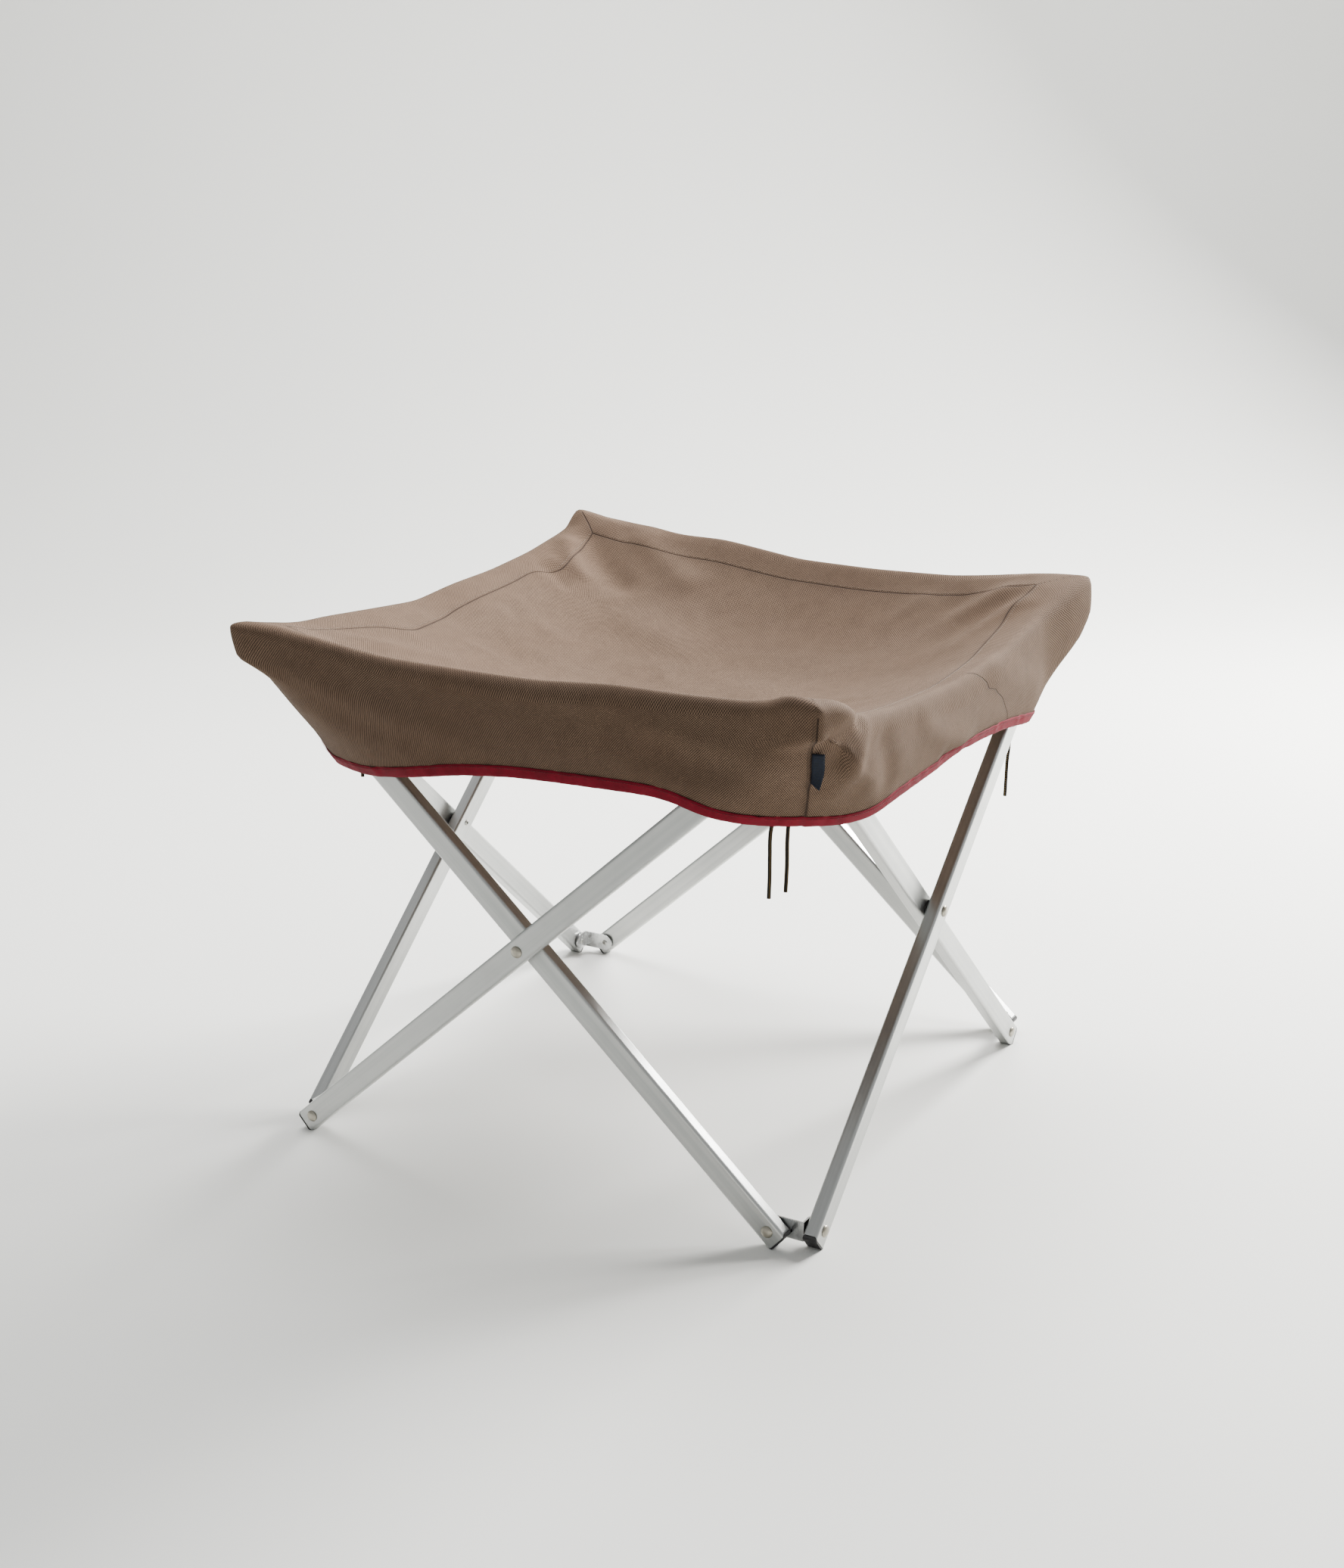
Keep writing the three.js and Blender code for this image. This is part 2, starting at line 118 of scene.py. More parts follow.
# ---- Node helpers ----------------------------------------
class Nodes:
    """A material's node tree, with short calls for the nodes used here."""

    def __init__(self, name):
        self.material = bpy.data.materials.new(name)
        self.material.use_nodes = True
        self.tree = self.material.node_tree
        self.shader = self.tree.nodes["Principled BSDF"]

    def add(self, kind, inputs=None, **settings):
        node = self.tree.nodes.new("ShaderNode" + kind)
        for key, value in settings.items():
            setattr(node, key, value)
        for key, value in (inputs or {}).items():
            self.put(node.inputs[key], value)
        return node

    def put(self, socket, value):
        if isinstance(value, bpy.types.NodeSocket):
            self.tree.links.new(value, socket)
        else:
            socket.default_value = value

    def math(self, operation, a, b=0.0):
        return self.add("Math", {0: a, 1: b}, operation=operation).outputs[0]

    def times(self, a, b):
        return self.math("MULTIPLY", a, b)

    def plus(self, a, b):
        return self.math("ADD", a, b)

    def ramp(self, value, low, high, start=0.0, end=1.0):
        node = self.add("MapRange", {0: value, 1: low, 2: high, 3: start, 4: end}, clamp=True)
        return node.outputs[0]

    def noise(self, vector, scale, detail=3.0, roughness=0.5):
        node = self.add("TexNoise", {
            "Vector": vector, "Scale": scale, "Detail": detail, "Roughness": roughness,
        })
        return node.outputs["Fac"]

    def mix(self, factor, a, b):
        node = self.add("Mix", data_type="RGBA")
        for index, value in ((0, factor), (6, a), (7, b)):
            self.put(node.inputs[index], value)
        return node.outputs[2]

    def bump(self, height, strength, distance, before=None):
        inputs = {"Height": height, "Strength": strength, "Distance": distance}
        if before is not None:
            inputs["Normal"] = before
        return self.add("Bump", inputs).outputs[0]

    def place(self):
        return self.add("TexCoord").outputs["Object"]

    def rotated(self, vector, angle, axis):
        node = self.add("VectorRotate", {"Vector": vector, "Angle": angle}, rotation_type=axis)
        return node.outputs[0]

    def look(self, **sockets):
        for key, value in sockets.items():
            self.put(self.shader.inputs[key.replace("_", " ")], value)
        return self.material


def linear(red, green, blue):
    """An sRGB colour from 0 to 255 as the shader's linear colour."""
    def channel(c):
        c /= 255
        return c / 12.92 if c <= 0.04045 else ((c + 0.055) / 1.055) ** 2.4
    return (channel(red), channel(green), channel(blue), 1)


# ---- Materials -------------------------------------------
DIAGONAL = 0.7071     # a square's half diagonal, as a share of its side
WEAVE_PITCH = 0.00185  # metres, as are the next two
TAPE_RIB, TAPE_ROW = 0.0013, 0.0011
LABEL_RIB = 0.0011
BRAID_TURNS, BRAID_STRANDS = 70.0, 4


def canvas_material():
    n = Nodes("canvas")
    cloth = n.add("UVMap", uv_map="cloth").outputs[0]
    split = n.add("SeparateXYZ", {0: cloth})
    u, v = split.outputs[0], split.outputs[1]
    turn = DIAGONAL * (2 * math.pi / WEAVE_PITCH)
    wobble = n.times(n.noise(cloth, 260.0, 2.0), 1.6)
    first = n.plus(n.times(n.plus(u, v), turn), wobble)
    second = n.plus(n.times(n.math("SUBTRACT", u, v), turn), wobble)
    twill = n.math("COSINE", first)
    cross = n.math("COSINE", second)
    weave = n.plus(n.times(twill, 0.30), n.times(cross, 0.20))
    weave = n.plus(weave, 0.5)
    place = n.place()
    fibre = n.noise(place, 900.0, 4.0, 0.7)
    cloud = n.noise(place, 9.0, 4.0, 0.6)
    fade = n.noise(place, 60.0, 3.0, 0.6)
    height = n.plus(n.times(weave, 0.7), n.times(fibre, 0.3))
    base = n.mix(n.ramp(height, 0.22, 0.78), linear(24, 15, 11), linear(128, 105, 87))
    worn = n.mix(n.ramp(cloud, 0.35, 0.7, 0.0, 0.35), base, linear(88, 68, 53))
    worn = n.mix(n.ramp(fade, 0.4, 0.75, 0.0, 0.22), worn, linear(58, 43, 33))
    # Seam marks: a thin dark line on each seam, partly the seam's own dark join and partly painted
    # shade in its crease, then a wider band of painted shade on the cloth beside it.
    seam = n.add("Attribute", attribute_name="seam").outputs["Fac"]
    line = n.ramp(n.math("ABSOLUTE", seam), 0.0002, 0.0011, 1.0, 0.0)
    shade = n.ramp(n.math("ABSOLUTE", seam), 0.0006, 0.0060, 0.30, 0.0)
    color = n.mix(shade, worn, linear(78, 62, 50))
    color = n.mix(n.times(line, 0.85), color, linear(46, 34, 27))
    fine = n.bump(height, 0.8, 0.0006)
    dent = n.bump(n.times(line, -1.0), 0.8, 0.0012, fine)
    return n.look(
        Base_Color=color,
        Roughness=n.ramp(fibre, 0.2, 0.8, 0.78, 0.95),
        Normal=dent,
        Specular_IOR_Level=0.12,
    )


def binding_material():
    n = Nodes("binding")
    cloth = n.add("UVMap", uv_map="cloth").outputs[0]
    split = n.add("SeparateXYZ", {0: cloth})
    ribs = n.math("COSINE", n.times(split.outputs[0], 2 * math.pi / TAPE_RIB))
    rows = n.math("COSINE", n.times(split.outputs[1], 2 * math.pi / TAPE_ROW))
    rib = n.plus(n.times(n.times(ribs, rows), 0.5), 0.5)
    place = n.place()
    fibre = n.noise(place, 800.0, 3.0)
    cloud = n.noise(place, 70.0, 3.0)
    tone = n.plus(n.times(rib, 0.5), n.times(fibre, 0.5))
    color = n.mix(n.ramp(tone, 0.2, 0.8), linear(84, 6, 20), linear(130, 18, 40))
    color = n.mix(n.ramp(cloud, 0.4, 0.7, 0.0, 0.4), color, linear(70, 6, 18))
    height = n.plus(n.times(rib, 0.6), n.times(cloud, 0.8))
    return n.look(
        Base_Color=color,
        Roughness=n.ramp(fibre, 0.2, 0.8, 0.62, 0.85),
        Normal=n.bump(height, 0.5, 0.0005),
        Specular_IOR_Level=0.12,
    )


def thread_material(name, dark, light):
    n = Nodes(name)
    twist = n.noise(n.place(), 1500.0, 2.0)
    color = n.mix(n.ramp(twist, 0.3, 0.7), dark, light)
    return n.look(Base_Color=color, Roughness=n.ramp(twist, 0.2, 0.8, 0.6, 0.85))


def aluminium_material(name, slope, across):
    """Satin anodised tube with a fine grain along the bar.

    slope turns the bar's line onto X, and across swaps X and Y first.
    """
    n = Nodes(name)
    place = n.place()
    if across:
        place = n.rotated(place, -math.pi / 2, "Z_AXIS")
    place = n.rotated(place, slope, "Y_AXIS")
    grain_at = n.add("Mapping", {"Vector": place, "Scale": (0.012, 1.0, 1.0)}).outputs[0]
    grain = n.noise(grain_at, 1400.0, 4.0, 0.65)
    band = n.noise(grain_at, 160.0, 3.0, 0.6)
    smudge = n.noise(place, 22.0, 5.0, 0.6)
    speck = n.noise(place, 520.0, 2.0, 0.5)
    color = n.mix(n.ramp(band, 0.3, 0.7), linear(176, 178, 177), linear(194, 195, 193))
    color = n.mix(n.ramp(smudge, 0.5, 0.8, 0.0, 0.25), color, linear(162, 164, 164))
    color = n.mix(n.ramp(speck, 0.74, 0.80, 0.0, 0.3), color, linear(150, 150, 148))
    rough = n.plus(n.ramp(grain, 0.25, 0.75, 0.27, 0.36), n.ramp(smudge, 0.4, 0.8, 0.0, 0.07))
    return n.look(
        Base_Color=color,
        Metallic=0.92,
        Roughness=rough,
        Normal=n.bump(grain, 0.10, 0.0002),
    )


def steel_material(name, light, dark, rough):
    n = Nodes(name)
    place = n.place()
    scratch_at = n.add("Mapping", {"Vector": place, "Scale": (1.0, 1.0, 0.08)}).outputs[0]
    scratch = n.noise(scratch_at, 900.0, 3.0, 0.6)
    stain = n.noise(place, 90.0, 4.0, 0.6)
    color = n.mix(n.ramp(stain, 0.4, 0.75), light, dark)
    return n.look(
        Base_Color=color,
        Metallic=1.0,
        Roughness=n.ramp(scratch, 0.3, 0.7, rough, rough + 0.14),
        Normal=n.bump(scratch, 0.12, 0.0002),
    )


def plastic_material(name, dark, light, grain):
    n = Nodes(name)
    place = n.place()
    grit = n.noise(place, grain, 3.0, 0.6)
    dust = n.noise(place, 60.0, 4.0, 0.6)
    color = n.mix(n.ramp(dust, 0.45, 0.8, 0.0, 0.6), dark, light)
    return n.look(
        Base_Color=color,
        Roughness=n.ramp(grit, 0.3, 0.7, 0.38, 0.58),
        Normal=n.bump(grit, 0.25, 0.0002),
    )


def cord_material():
    """Braided cord: two families of strands wound round it."""
    n = Nodes("braided_cord")
    place = n.add("TexCoord").outputs["UV"]
    split = n.add("SeparateXYZ", {0: place})
    along = n.times(split.outputs[0], BRAID_TURNS)
    around = n.times(split.outputs[1], BRAID_STRANDS * 2 * math.pi)
    left = n.math("SINE", n.plus(n.times(along, 2 * math.pi), around))
    right = n.math("SINE", n.math("SUBTRACT", n.times(along, 2 * math.pi), around))
    braid = n.math("MAXIMUM", left, right)
    fibre = n.noise(n.place(), 1600.0, 3.0)
    color = n.mix(n.ramp(fibre, 0.35, 0.75), linear(14, 13, 13), linear(40, 35, 31))
    tracer = n.times(n.ramp(left, 0.86, 0.95), n.ramp(n.math("COSINE", around), 0.2, 0.6))
    color = n.mix(tracer, color, linear(178, 140, 62))
    height = n.plus(n.times(braid, 0.6), n.times(fibre, 0.3))
    return n.look(
        Base_Color=color,
        Roughness=n.ramp(fibre, 0.2, 0.8, 0.7, 0.9),
        Normal=n.bump(height, 0.5, 0.0006),
        Specular_IOR_Level=0.15,
    )


def label_material():
    """Dark woven tape, plain, with a fine rib."""
    n = Nodes("woven_label")
    place = n.place()
    split = n.add("SeparateXYZ", {0: place})
    rib = n.math("SINE", n.times(split.outputs[2], 2 * math.pi / LABEL_RIB))
    fibre = n.noise(place, 1100.0, 3.0)
    color = n.mix(n.ramp(fibre, 0.35, 0.7), linear(7, 11, 20), linear(20, 29, 44))
    height = n.plus(n.times(rib, 0.5), fibre)
    return n.look(
        Base_Color=color,
        Roughness=n.ramp(fibre, 0.3, 0.7, 0.55, 0.75),
        Normal=n.bump(height, 0.4, 0.0003),
        Specular_IOR_Level=0.15,
    )


# ---- Tie cords -------------------------------------------
CORD_RADIUS = 1.9
CORD_ROUTES = {
    "tie_cord_front_a": ("front_top", [
        (-270, -266, 446), (-278, -262, 432), (-283, -259, 412),
        (-284, -259, 388), (-282, -258, 368), (-283, -258, 348),
    ]),
    "tie_cord_front_b": ("front_top", [
        (-265, -272, 446), (-271, -272, 430), (-273, -271, 405),
        (-275, -272, 380), (-277, -272, 355),
    ]),
    "tie_cord_left": ("left_top", [
        (-262, 262, 446), (-252, 252, 436), (-243, 243, 424), (-240, 240, 404),
        (-240, 240, 380),
    ]),
    "tie_cord_right": ("right_top", [
        (264, -264, 446), (266, -267, 425), (270, -273, 400),
        (272, -276, 372), (270, -275, 340), (271, -274, 302),
    ]),
}


def catmull(points, steps):
    """Points on a smooth line through the given ones."""
    p = [np.array(q, float) for q in points]
    p = [2 * p[0] - p[1], *p, 2 * p[-1] - p[-2]]
    line = []
    for i in range(1, len(p) - 2):
        for t in np.linspace(0, 1, steps, endpoint=False):
            line.append(0.5 * (
                2 * p[i]
                + (p[i + 1] - p[i - 1]) * t
                + (2 * p[i - 1] - 5 * p[i] + 4 * p[i + 1] - p[i + 2]) * t ** 2
                + (3 * p[i] - p[i - 1] - 3 * p[i + 1] + p[i + 2]) * t ** 3
            ))
    line.append(p[-2])
    return np.array(line)


def make_cords():
    look = cord_material()
    for name, (body, route) in CORD_ROUTES.items():
        line = catmull(route, 6) * MM
        data = bpy.data.curves.new(name, "CURVE")
        data.dimensions = "3D"
        spline = data.splines.new("POLY")
        spline.points.add(len(line) - 1)
        for point, place in zip(spline.points, line):
            point.co = (*place, 1)
        data.bevel_depth = CORD_RADIUS * MM
        data.bevel_resolution = 5
        data.use_fill_caps = True
        piece = new_object(name + "_braid", data)
        data.materials.append(look)
        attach(piece, body)
        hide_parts(name)


# ---- Seat cover surface ----------------------------------
GRID_HALF = 314.0     # the seat panel's grid ends here and the fold over the edge begins
EDGE_HALF = 327.0     # outside of the cover at its top edge
HEM_HALF = 321.5      # outside of the skirt at the hem
BAND = 286.0          # the band's inner seam, before it wanders
WANDER_START = 170.0  # the seam's wander eases in from here
CORNER_RADIUS = 9     # at the foot of the fold
CLOTH = 1.1           # thickness


def smooth_curve(points, blur=14.0):
    """A smooth function through (place, value) pairs: straight pieces, then blurred."""
    at, value = np.array(points, float).T
    grid = np.arange(-400.0, 401.0)
    kernel = np.exp(-0.5 * (np.arange(-60, 61) / blur) ** 2)
    kernel /= kernel.sum()
    flat = np.pad(np.interp(grid, at, value), 60, mode="edge")
    return lambda x: np.interp(x, grid, np.convolve(flat, kernel, "valid"))


# Height of each top edge and of the hem, left to right as seen from outside.
EDGE_HEIGHT = [smooth_curve(p, 12) for p in (
    [(-327, 551), (-300, 547), (-275, 538), (-230, 521), (-150, 513), (0, 507), (120, 512),
     (220, 527), (290, 545), (327, 556)],
    [(-327, 558), (-266, 557), (-222, 551), (-176, 546), (-80, 544), (17, 546), (68, 553), (120, 560),
     (180, 560), (226, 566), (281, 571), (327, 573)],
    [(-327, 573), (-287, 556), (-202, 541), (-121, 533), (-45, 530), (28, 523), (97, 528), (188, 535),
     (225, 536), (290, 545), (327, 555)],
    [(-327, 555), (-291, 554), (-239, 550), (-146, 540), (-57, 539), (29, 539), (111, 545), (189, 544),
     (265, 545), (295, 551), (327, 550)],
)]
HEM_HEIGHT = [smooth_curve(p, 14) for p in (
    [(-327, 418), (-282, 412), (-234, 411), (-190, 418), (-114, 421), (-40, 424), (40, 426), (130, 421),
     (220, 410), (327, 403)],
    [(-327, 403), (-200, 414), (0, 431), (200, 420), (327, 410)],
    [(-327, 410), (-200, 420), (0, 431), (200, 418), (327, 403)],
    [(-327, 403), (-240, 407), (-175, 417), (-100, 430), (-29, 437), (23, 439), (106, 441), (155, 442),
     (187, 438), (218, 430), (264, 424), (327, 418)],
)]
# How far along its side each corner's curve reaches, against how far down the skirt it is
# (0 at the fold, 1 at the hem). A side's right end has the outer bar's tip behind it.
TUCK_LEFT = [
    [(0, 9), (0.2, 12), (0.25, 36), (0.32, 74), (0.45, 92), (0.6, 130), (1, 190)],
    [(0, 9), (0.23, 12), (0.4, 34), (0.55, 78), (0.75, 140), (1, 205)],
    [(0, 8), (0.33, 12), (0.5, 66), (0.7, 130), (1, 190)],
    [(0, 8), (0.22, 13), (0.36, 74), (0.5, 122), (0.64, 170), (0.8, 220), (1, 262)],
]
TUCK_RIGHT = [
    [(0, 9), (0.23, 12), (0.4, 30), (0.55, 62), (0.75, 98), (1, 130)],
    [(0, 8), (0.33, 12), (0.5, 50), (0.7, 92), (1, 126)],
    [(0, 8), (0.22, 13), (0.36, 62), (0.5, 84), (0.64, 106), (0.8, 134), (1, 166)],
    [(0, 9), (0.2, 12), (0.25, 30), (0.32, 54), (0.5, 70), (0.7, 98), (1, 126)],
]
FOLD = [  # height of each edge's rounded fold
    smooth_curve([(-327, 9), (-230, 22), (0, 34), (230, 24), (327, 10)], 20),
    smooth_curve([(-327, 9), (0, 8), (327, 7)], 20),
    smooth_curve([(-327, 7), (0, 8), (327, 8)], 20),
    smooth_curve([(-327, 8), (-230, 18), (0, 26), (200, 20), (327, 9)], 20),
]
BELLY = [5.0, 3.0, 2.0, 2.0]  # how far each skirt bulges between the fold and the hem


def grid_lines():
    """Lines across the seat panel: even, with more of them either side of the band's seam."""
    near = BAND + np.array([-9, -5.5, -3.2, -1.6, 0, 1.6, 3.2, 5.5, 9])
    inner = np.linspace(-(BAND - 14), BAND - 14, 131)
    outer = np.array([BAND + 14, BAND + 19, BAND + 23.5, GRID_HALF])
    return np.concatenate([-outer[::-1], -near[::-1], inner, near, outer])


def corner_curve(along, across):
    """Half a corner's curve, from its middle to its side, as insets from the square corner."""
    angle = np.linspace(math.pi / 4, math.pi / 2, 17)
    return np.stack([along * (1 - np.cos(angle)), across * (1 - np.sin(angle))], axis=-1)


def ring(half, lefts, rights, share):
    """A rounded square's points: for each side, at shares of the way between corner middles."""
    sides = []
    for k in range(4):
        left = corner_curve(lefts[k], rights[k - 1]) - half
        right = corner_curve(rights[k], lefts[(k + 1) % 4]) - half
        right = right[::-1] * (-1, 1)
        line = np.concatenate([left, right])
        far = lengths_along(line)
        sides.append(turned(between(share * far[-1], far, line), k))
    return sides


def coons(x, y):
    """Height from the four edges' heights, smooth over the whole seat."""
    u, v = (x + EDGE_HALF) / (2 * EDGE_HALF), (y + EDGE_HALF) / (2 * EDGE_HALF)
    low, high = EDGE_HEIGHT[0](x), EDGE_HEIGHT[2](-x)
    right, left = EDGE_HEIGHT[1](y), EDGE_HEIGHT[3](-y)
    c = [float(EDGE_HEIGHT[k](-EDGE_HALF)) for k in range(4)]
    flat = (1 - u) * (1 - v) * c[0] + u * (1 - v) * c[1] + u * v * c[2] + (1 - u) * v * c[3]
    return (1 - v) * low + v * high + (1 - u) * left + u * right - flat


BOWL_DEPTH = 66.0
BOWL_POWER = 0.92


def step_up(value, start, end):
    t = np.clip((value - start) / (end - start), 0, 1)
    return t * t * (3 - 2 * t)


def bowl(x, y):
    held = step_up(np.abs(x), 240, 296) * step_up(np.abs(y), 240, 296)
    fall_x = 1 - np.minimum(1, np.abs(x - 6) / EDGE_HALF) ** 2.2
    fall_y = 1 - np.minimum(1, np.abs(y + 4) / EDGE_HALF) ** 2.2
    return BOWL_DEPTH * (fall_x * fall_y) ** BOWL_POWER * (1 - held)


# The band's inner seam, as an offset outwards from BAND, left to right as seen from outside.
SEAM_WANDER = [smooth_curve(p, 10) for p in (
    [(-300, 14), (-201, 8), (-80, 4), (50, 2), (160, -4), (240, -6), (300, 0)],
    [(-300, 4), (-150, 6), (0, 10), (120, 8), (230, 2), (300, 0)],
    [(-300, 0), (-240, -9), (-190, -17), (-166, 6), (-73, 4), (3, 2), (102, -14), (144, 0),
     (213, 5), (300, 2)],
    [(-300, 12), (-200, 19), (0, 20), (200, 19), (260, 14), (300, 4)],
)]


def wander(points):
    """Moves the seat panel's grid in plan so that its seam lines wander."""
    out = points.copy()
    for k, (axis, sign) in enumerate([(1, -1), (0, 1), (1, 1), (0, -1)]):
        along = along_side(points, k)
        depth = np.maximum(0, sign * points[..., axis])
        outside = np.clip((GRID_HALF - depth) / (GRID_HALF - BAND), 0, 1)
        weight = np.where(depth < BAND, step_up(depth, WANDER_START, BAND), outside)
        corner = np.clip((GRID_HALF - np.abs(along)) / 60, 0, 1)
        out[..., axis] += sign * SEAM_WANDER[k](along) * weight * corner
    return out


def seat_height(x, y):
    return coons(x, y) - bowl(x, y)


FOLD_ROWS, SKIRT_ROWS = 6, 30
FOLD_STEP, SKIRT_STEP = 3.0, 3.6  # cloth from row to row


def side_shares(lines):
    """Where the grid's lines meet a side, as shares of it."""
    return ((lines + GRID_HALF) / (2 * GRID_HALF))[:-1]


def side_places(lines):
    """Where they meet it, from its middle, at the cover's outside."""
    return 2 * EDGE_HALF * (side_shares(lines) - 0.5)


def cover_points():
    """The seat panel's grid and the rows that go round it, over the fold and down to the hem."""
    lines = grid_lines()
    gx, gy = np.meshgrid(lines, lines, indexing="xy")
    panel = wander(np.stack([gx, gy], axis=-1))
    height = seat_height(panel[..., 0], panel[..., 1])
    panel = np.concatenate([panel, height[..., None]], axis=-1)
    share, wide = side_shares(lines), side_places(lines)
    rim = ring(GRID_HALF, [0.01] * 4, [0.01] * 4, share)
    base = [seat_height(r[:, 0], r[:, 1]) for r in rim]
    rows = []
    for i in range(1, FOLD_ROWS + 1):
        angle = 0.5 * math.pi * i / FOLD_ROWS
        half = GRID_HALF + (EDGE_HALF - GRID_HALF) * math.sin(angle)
        radius = CORNER_RADIUS * i / FOLD_ROWS
        sides = ring(half, [radius] * 4, [radius] * 4, share)
        made = []
        for k, side in enumerate(sides):
            along = along_side(side, k)
            top = coons(side[:, 0], side[:, 1])
            lip = base[k] + (top - base[k]) * math.sin(angle)
            made.append(np.column_stack([side, lip - FOLD[k](along) * (1 - math.cos(angle))]))
        rows.append(np.concatenate(made))
    for i in range(1, SKIRT_ROWS + 1):
        v = i / SKIRT_ROWS
        half = EDGE_HALF + (HEM_HALF - EDGE_HALF) * v
        lefts = [float(np.interp(v, *np.array(t, float).T)) for t in TUCK_LEFT]
        rights = [float(np.interp(v, *np.array(t, float).T)) for t in TUCK_RIGHT]
        made = []
        for k, side in enumerate(ring(half, lefts, rights, share)):
            along = along_side(side, k)
            outward = np.array([QUARTER[k][1], -QUARTER[k][0]])
            ease = np.clip(1 - (np.abs(along) / 300) ** 2, 0, 1)
            side = side + outward * (BELLY[k] * math.sin(math.pi * v) * ease)[:, None]
            high = EDGE_HEIGHT[k](wide) - FOLD[k](wide)
            made.append(np.column_stack([side, high + (HEM_HEIGHT[k](wide) - high) * v]))
        rows.append(np.concatenate(made))
    return lines, panel, rows


def rim_indices(n):
    """The panel grid's boundary, in the order that the rows go round: side 0 from the front corner."""
    low = [(0, i) for i in range(n - 1)]
    right = [(i, n - 1) for i in range(n - 1)]
    high = [(n - 1, n - 1 - i) for i in range(n - 1)]
    left = [(n - 1 - i, 0) for i in range(n - 1)]
    return [r * n + c for r, c in low + right + high + left]


def cover_faces(n, row_count):
    faces = []
    for r in range(n - 1):
        for c in range(n - 1):
            a = r * n + c
            faces.append((a, a + 1, a + n + 1, a + n))
    around = 4 * (n - 1)
    before = rim_indices(n)
    for row in range(row_count):
        start = n * n + row * around
        now = list(range(start, start + around))
        for i in range(around):
            j = (i + 1) % around
            faces.append((before[i], now[i], now[j], before[j]))
        before = now
    return faces


# ---- Sculpting -------------------------------------------
TAPER = 0.22   # the share of a stroke's line over which each end fades
WRINKLES = 46


def line_distance(points, line):
    """How far each point is from a line of segments, and how far along it, from 0 to 1."""
    best = np.full(len(points), np.inf)
    along = np.zeros(len(points))
    line = np.array(line, float)
    lengths = np.linalg.norm(np.diff(line, axis=0), axis=1)
    total, before = lengths.sum(), 0.0
    for a, b, length in zip(line[:-1], line[1:], lengths):
        t = np.clip((points - a) @ (b - a) / length ** 2, 0, 1)
        far = np.linalg.norm(points - a - t[:, None] * (b - a), axis=1)
        closer = far < best
        best = np.where(closer, far, best)
        along = np.where(closer, (before + t * length) / total, along)
        before += length
    return best, along


def normals_of(points, faces):
    f = np.array(faces)
    cross = np.cross(points[f[:, 2]] - points[f[:, 0]], points[f[:, 3]] - points[f[:, 1]])
    out = np.zeros_like(points)
    for i in range(4):
        np.add.at(out, f[:, i], cross)
    return out / np.maximum(np.linalg.norm(out, axis=1, keepdims=True), 1e-9)


def stroke(points, normals, line, width, height):
    """A ridge, or a groove if height is negative, along a line."""
    far, along = line_distance(points, line)
    taper = step_up(np.minimum(along, 1 - along), 0, TAPER)
    return normals * (height * np.exp(-((far / width) ** 2)) * taper)[:, None]


def grab(points, centre, radius, move):
    far = np.linalg.norm(points - np.array(centre, float), axis=1) / radius
    weight = np.clip(1 - far ** 2, 0, 1) ** 2
    return weight[:, None] * np.array(move, float)


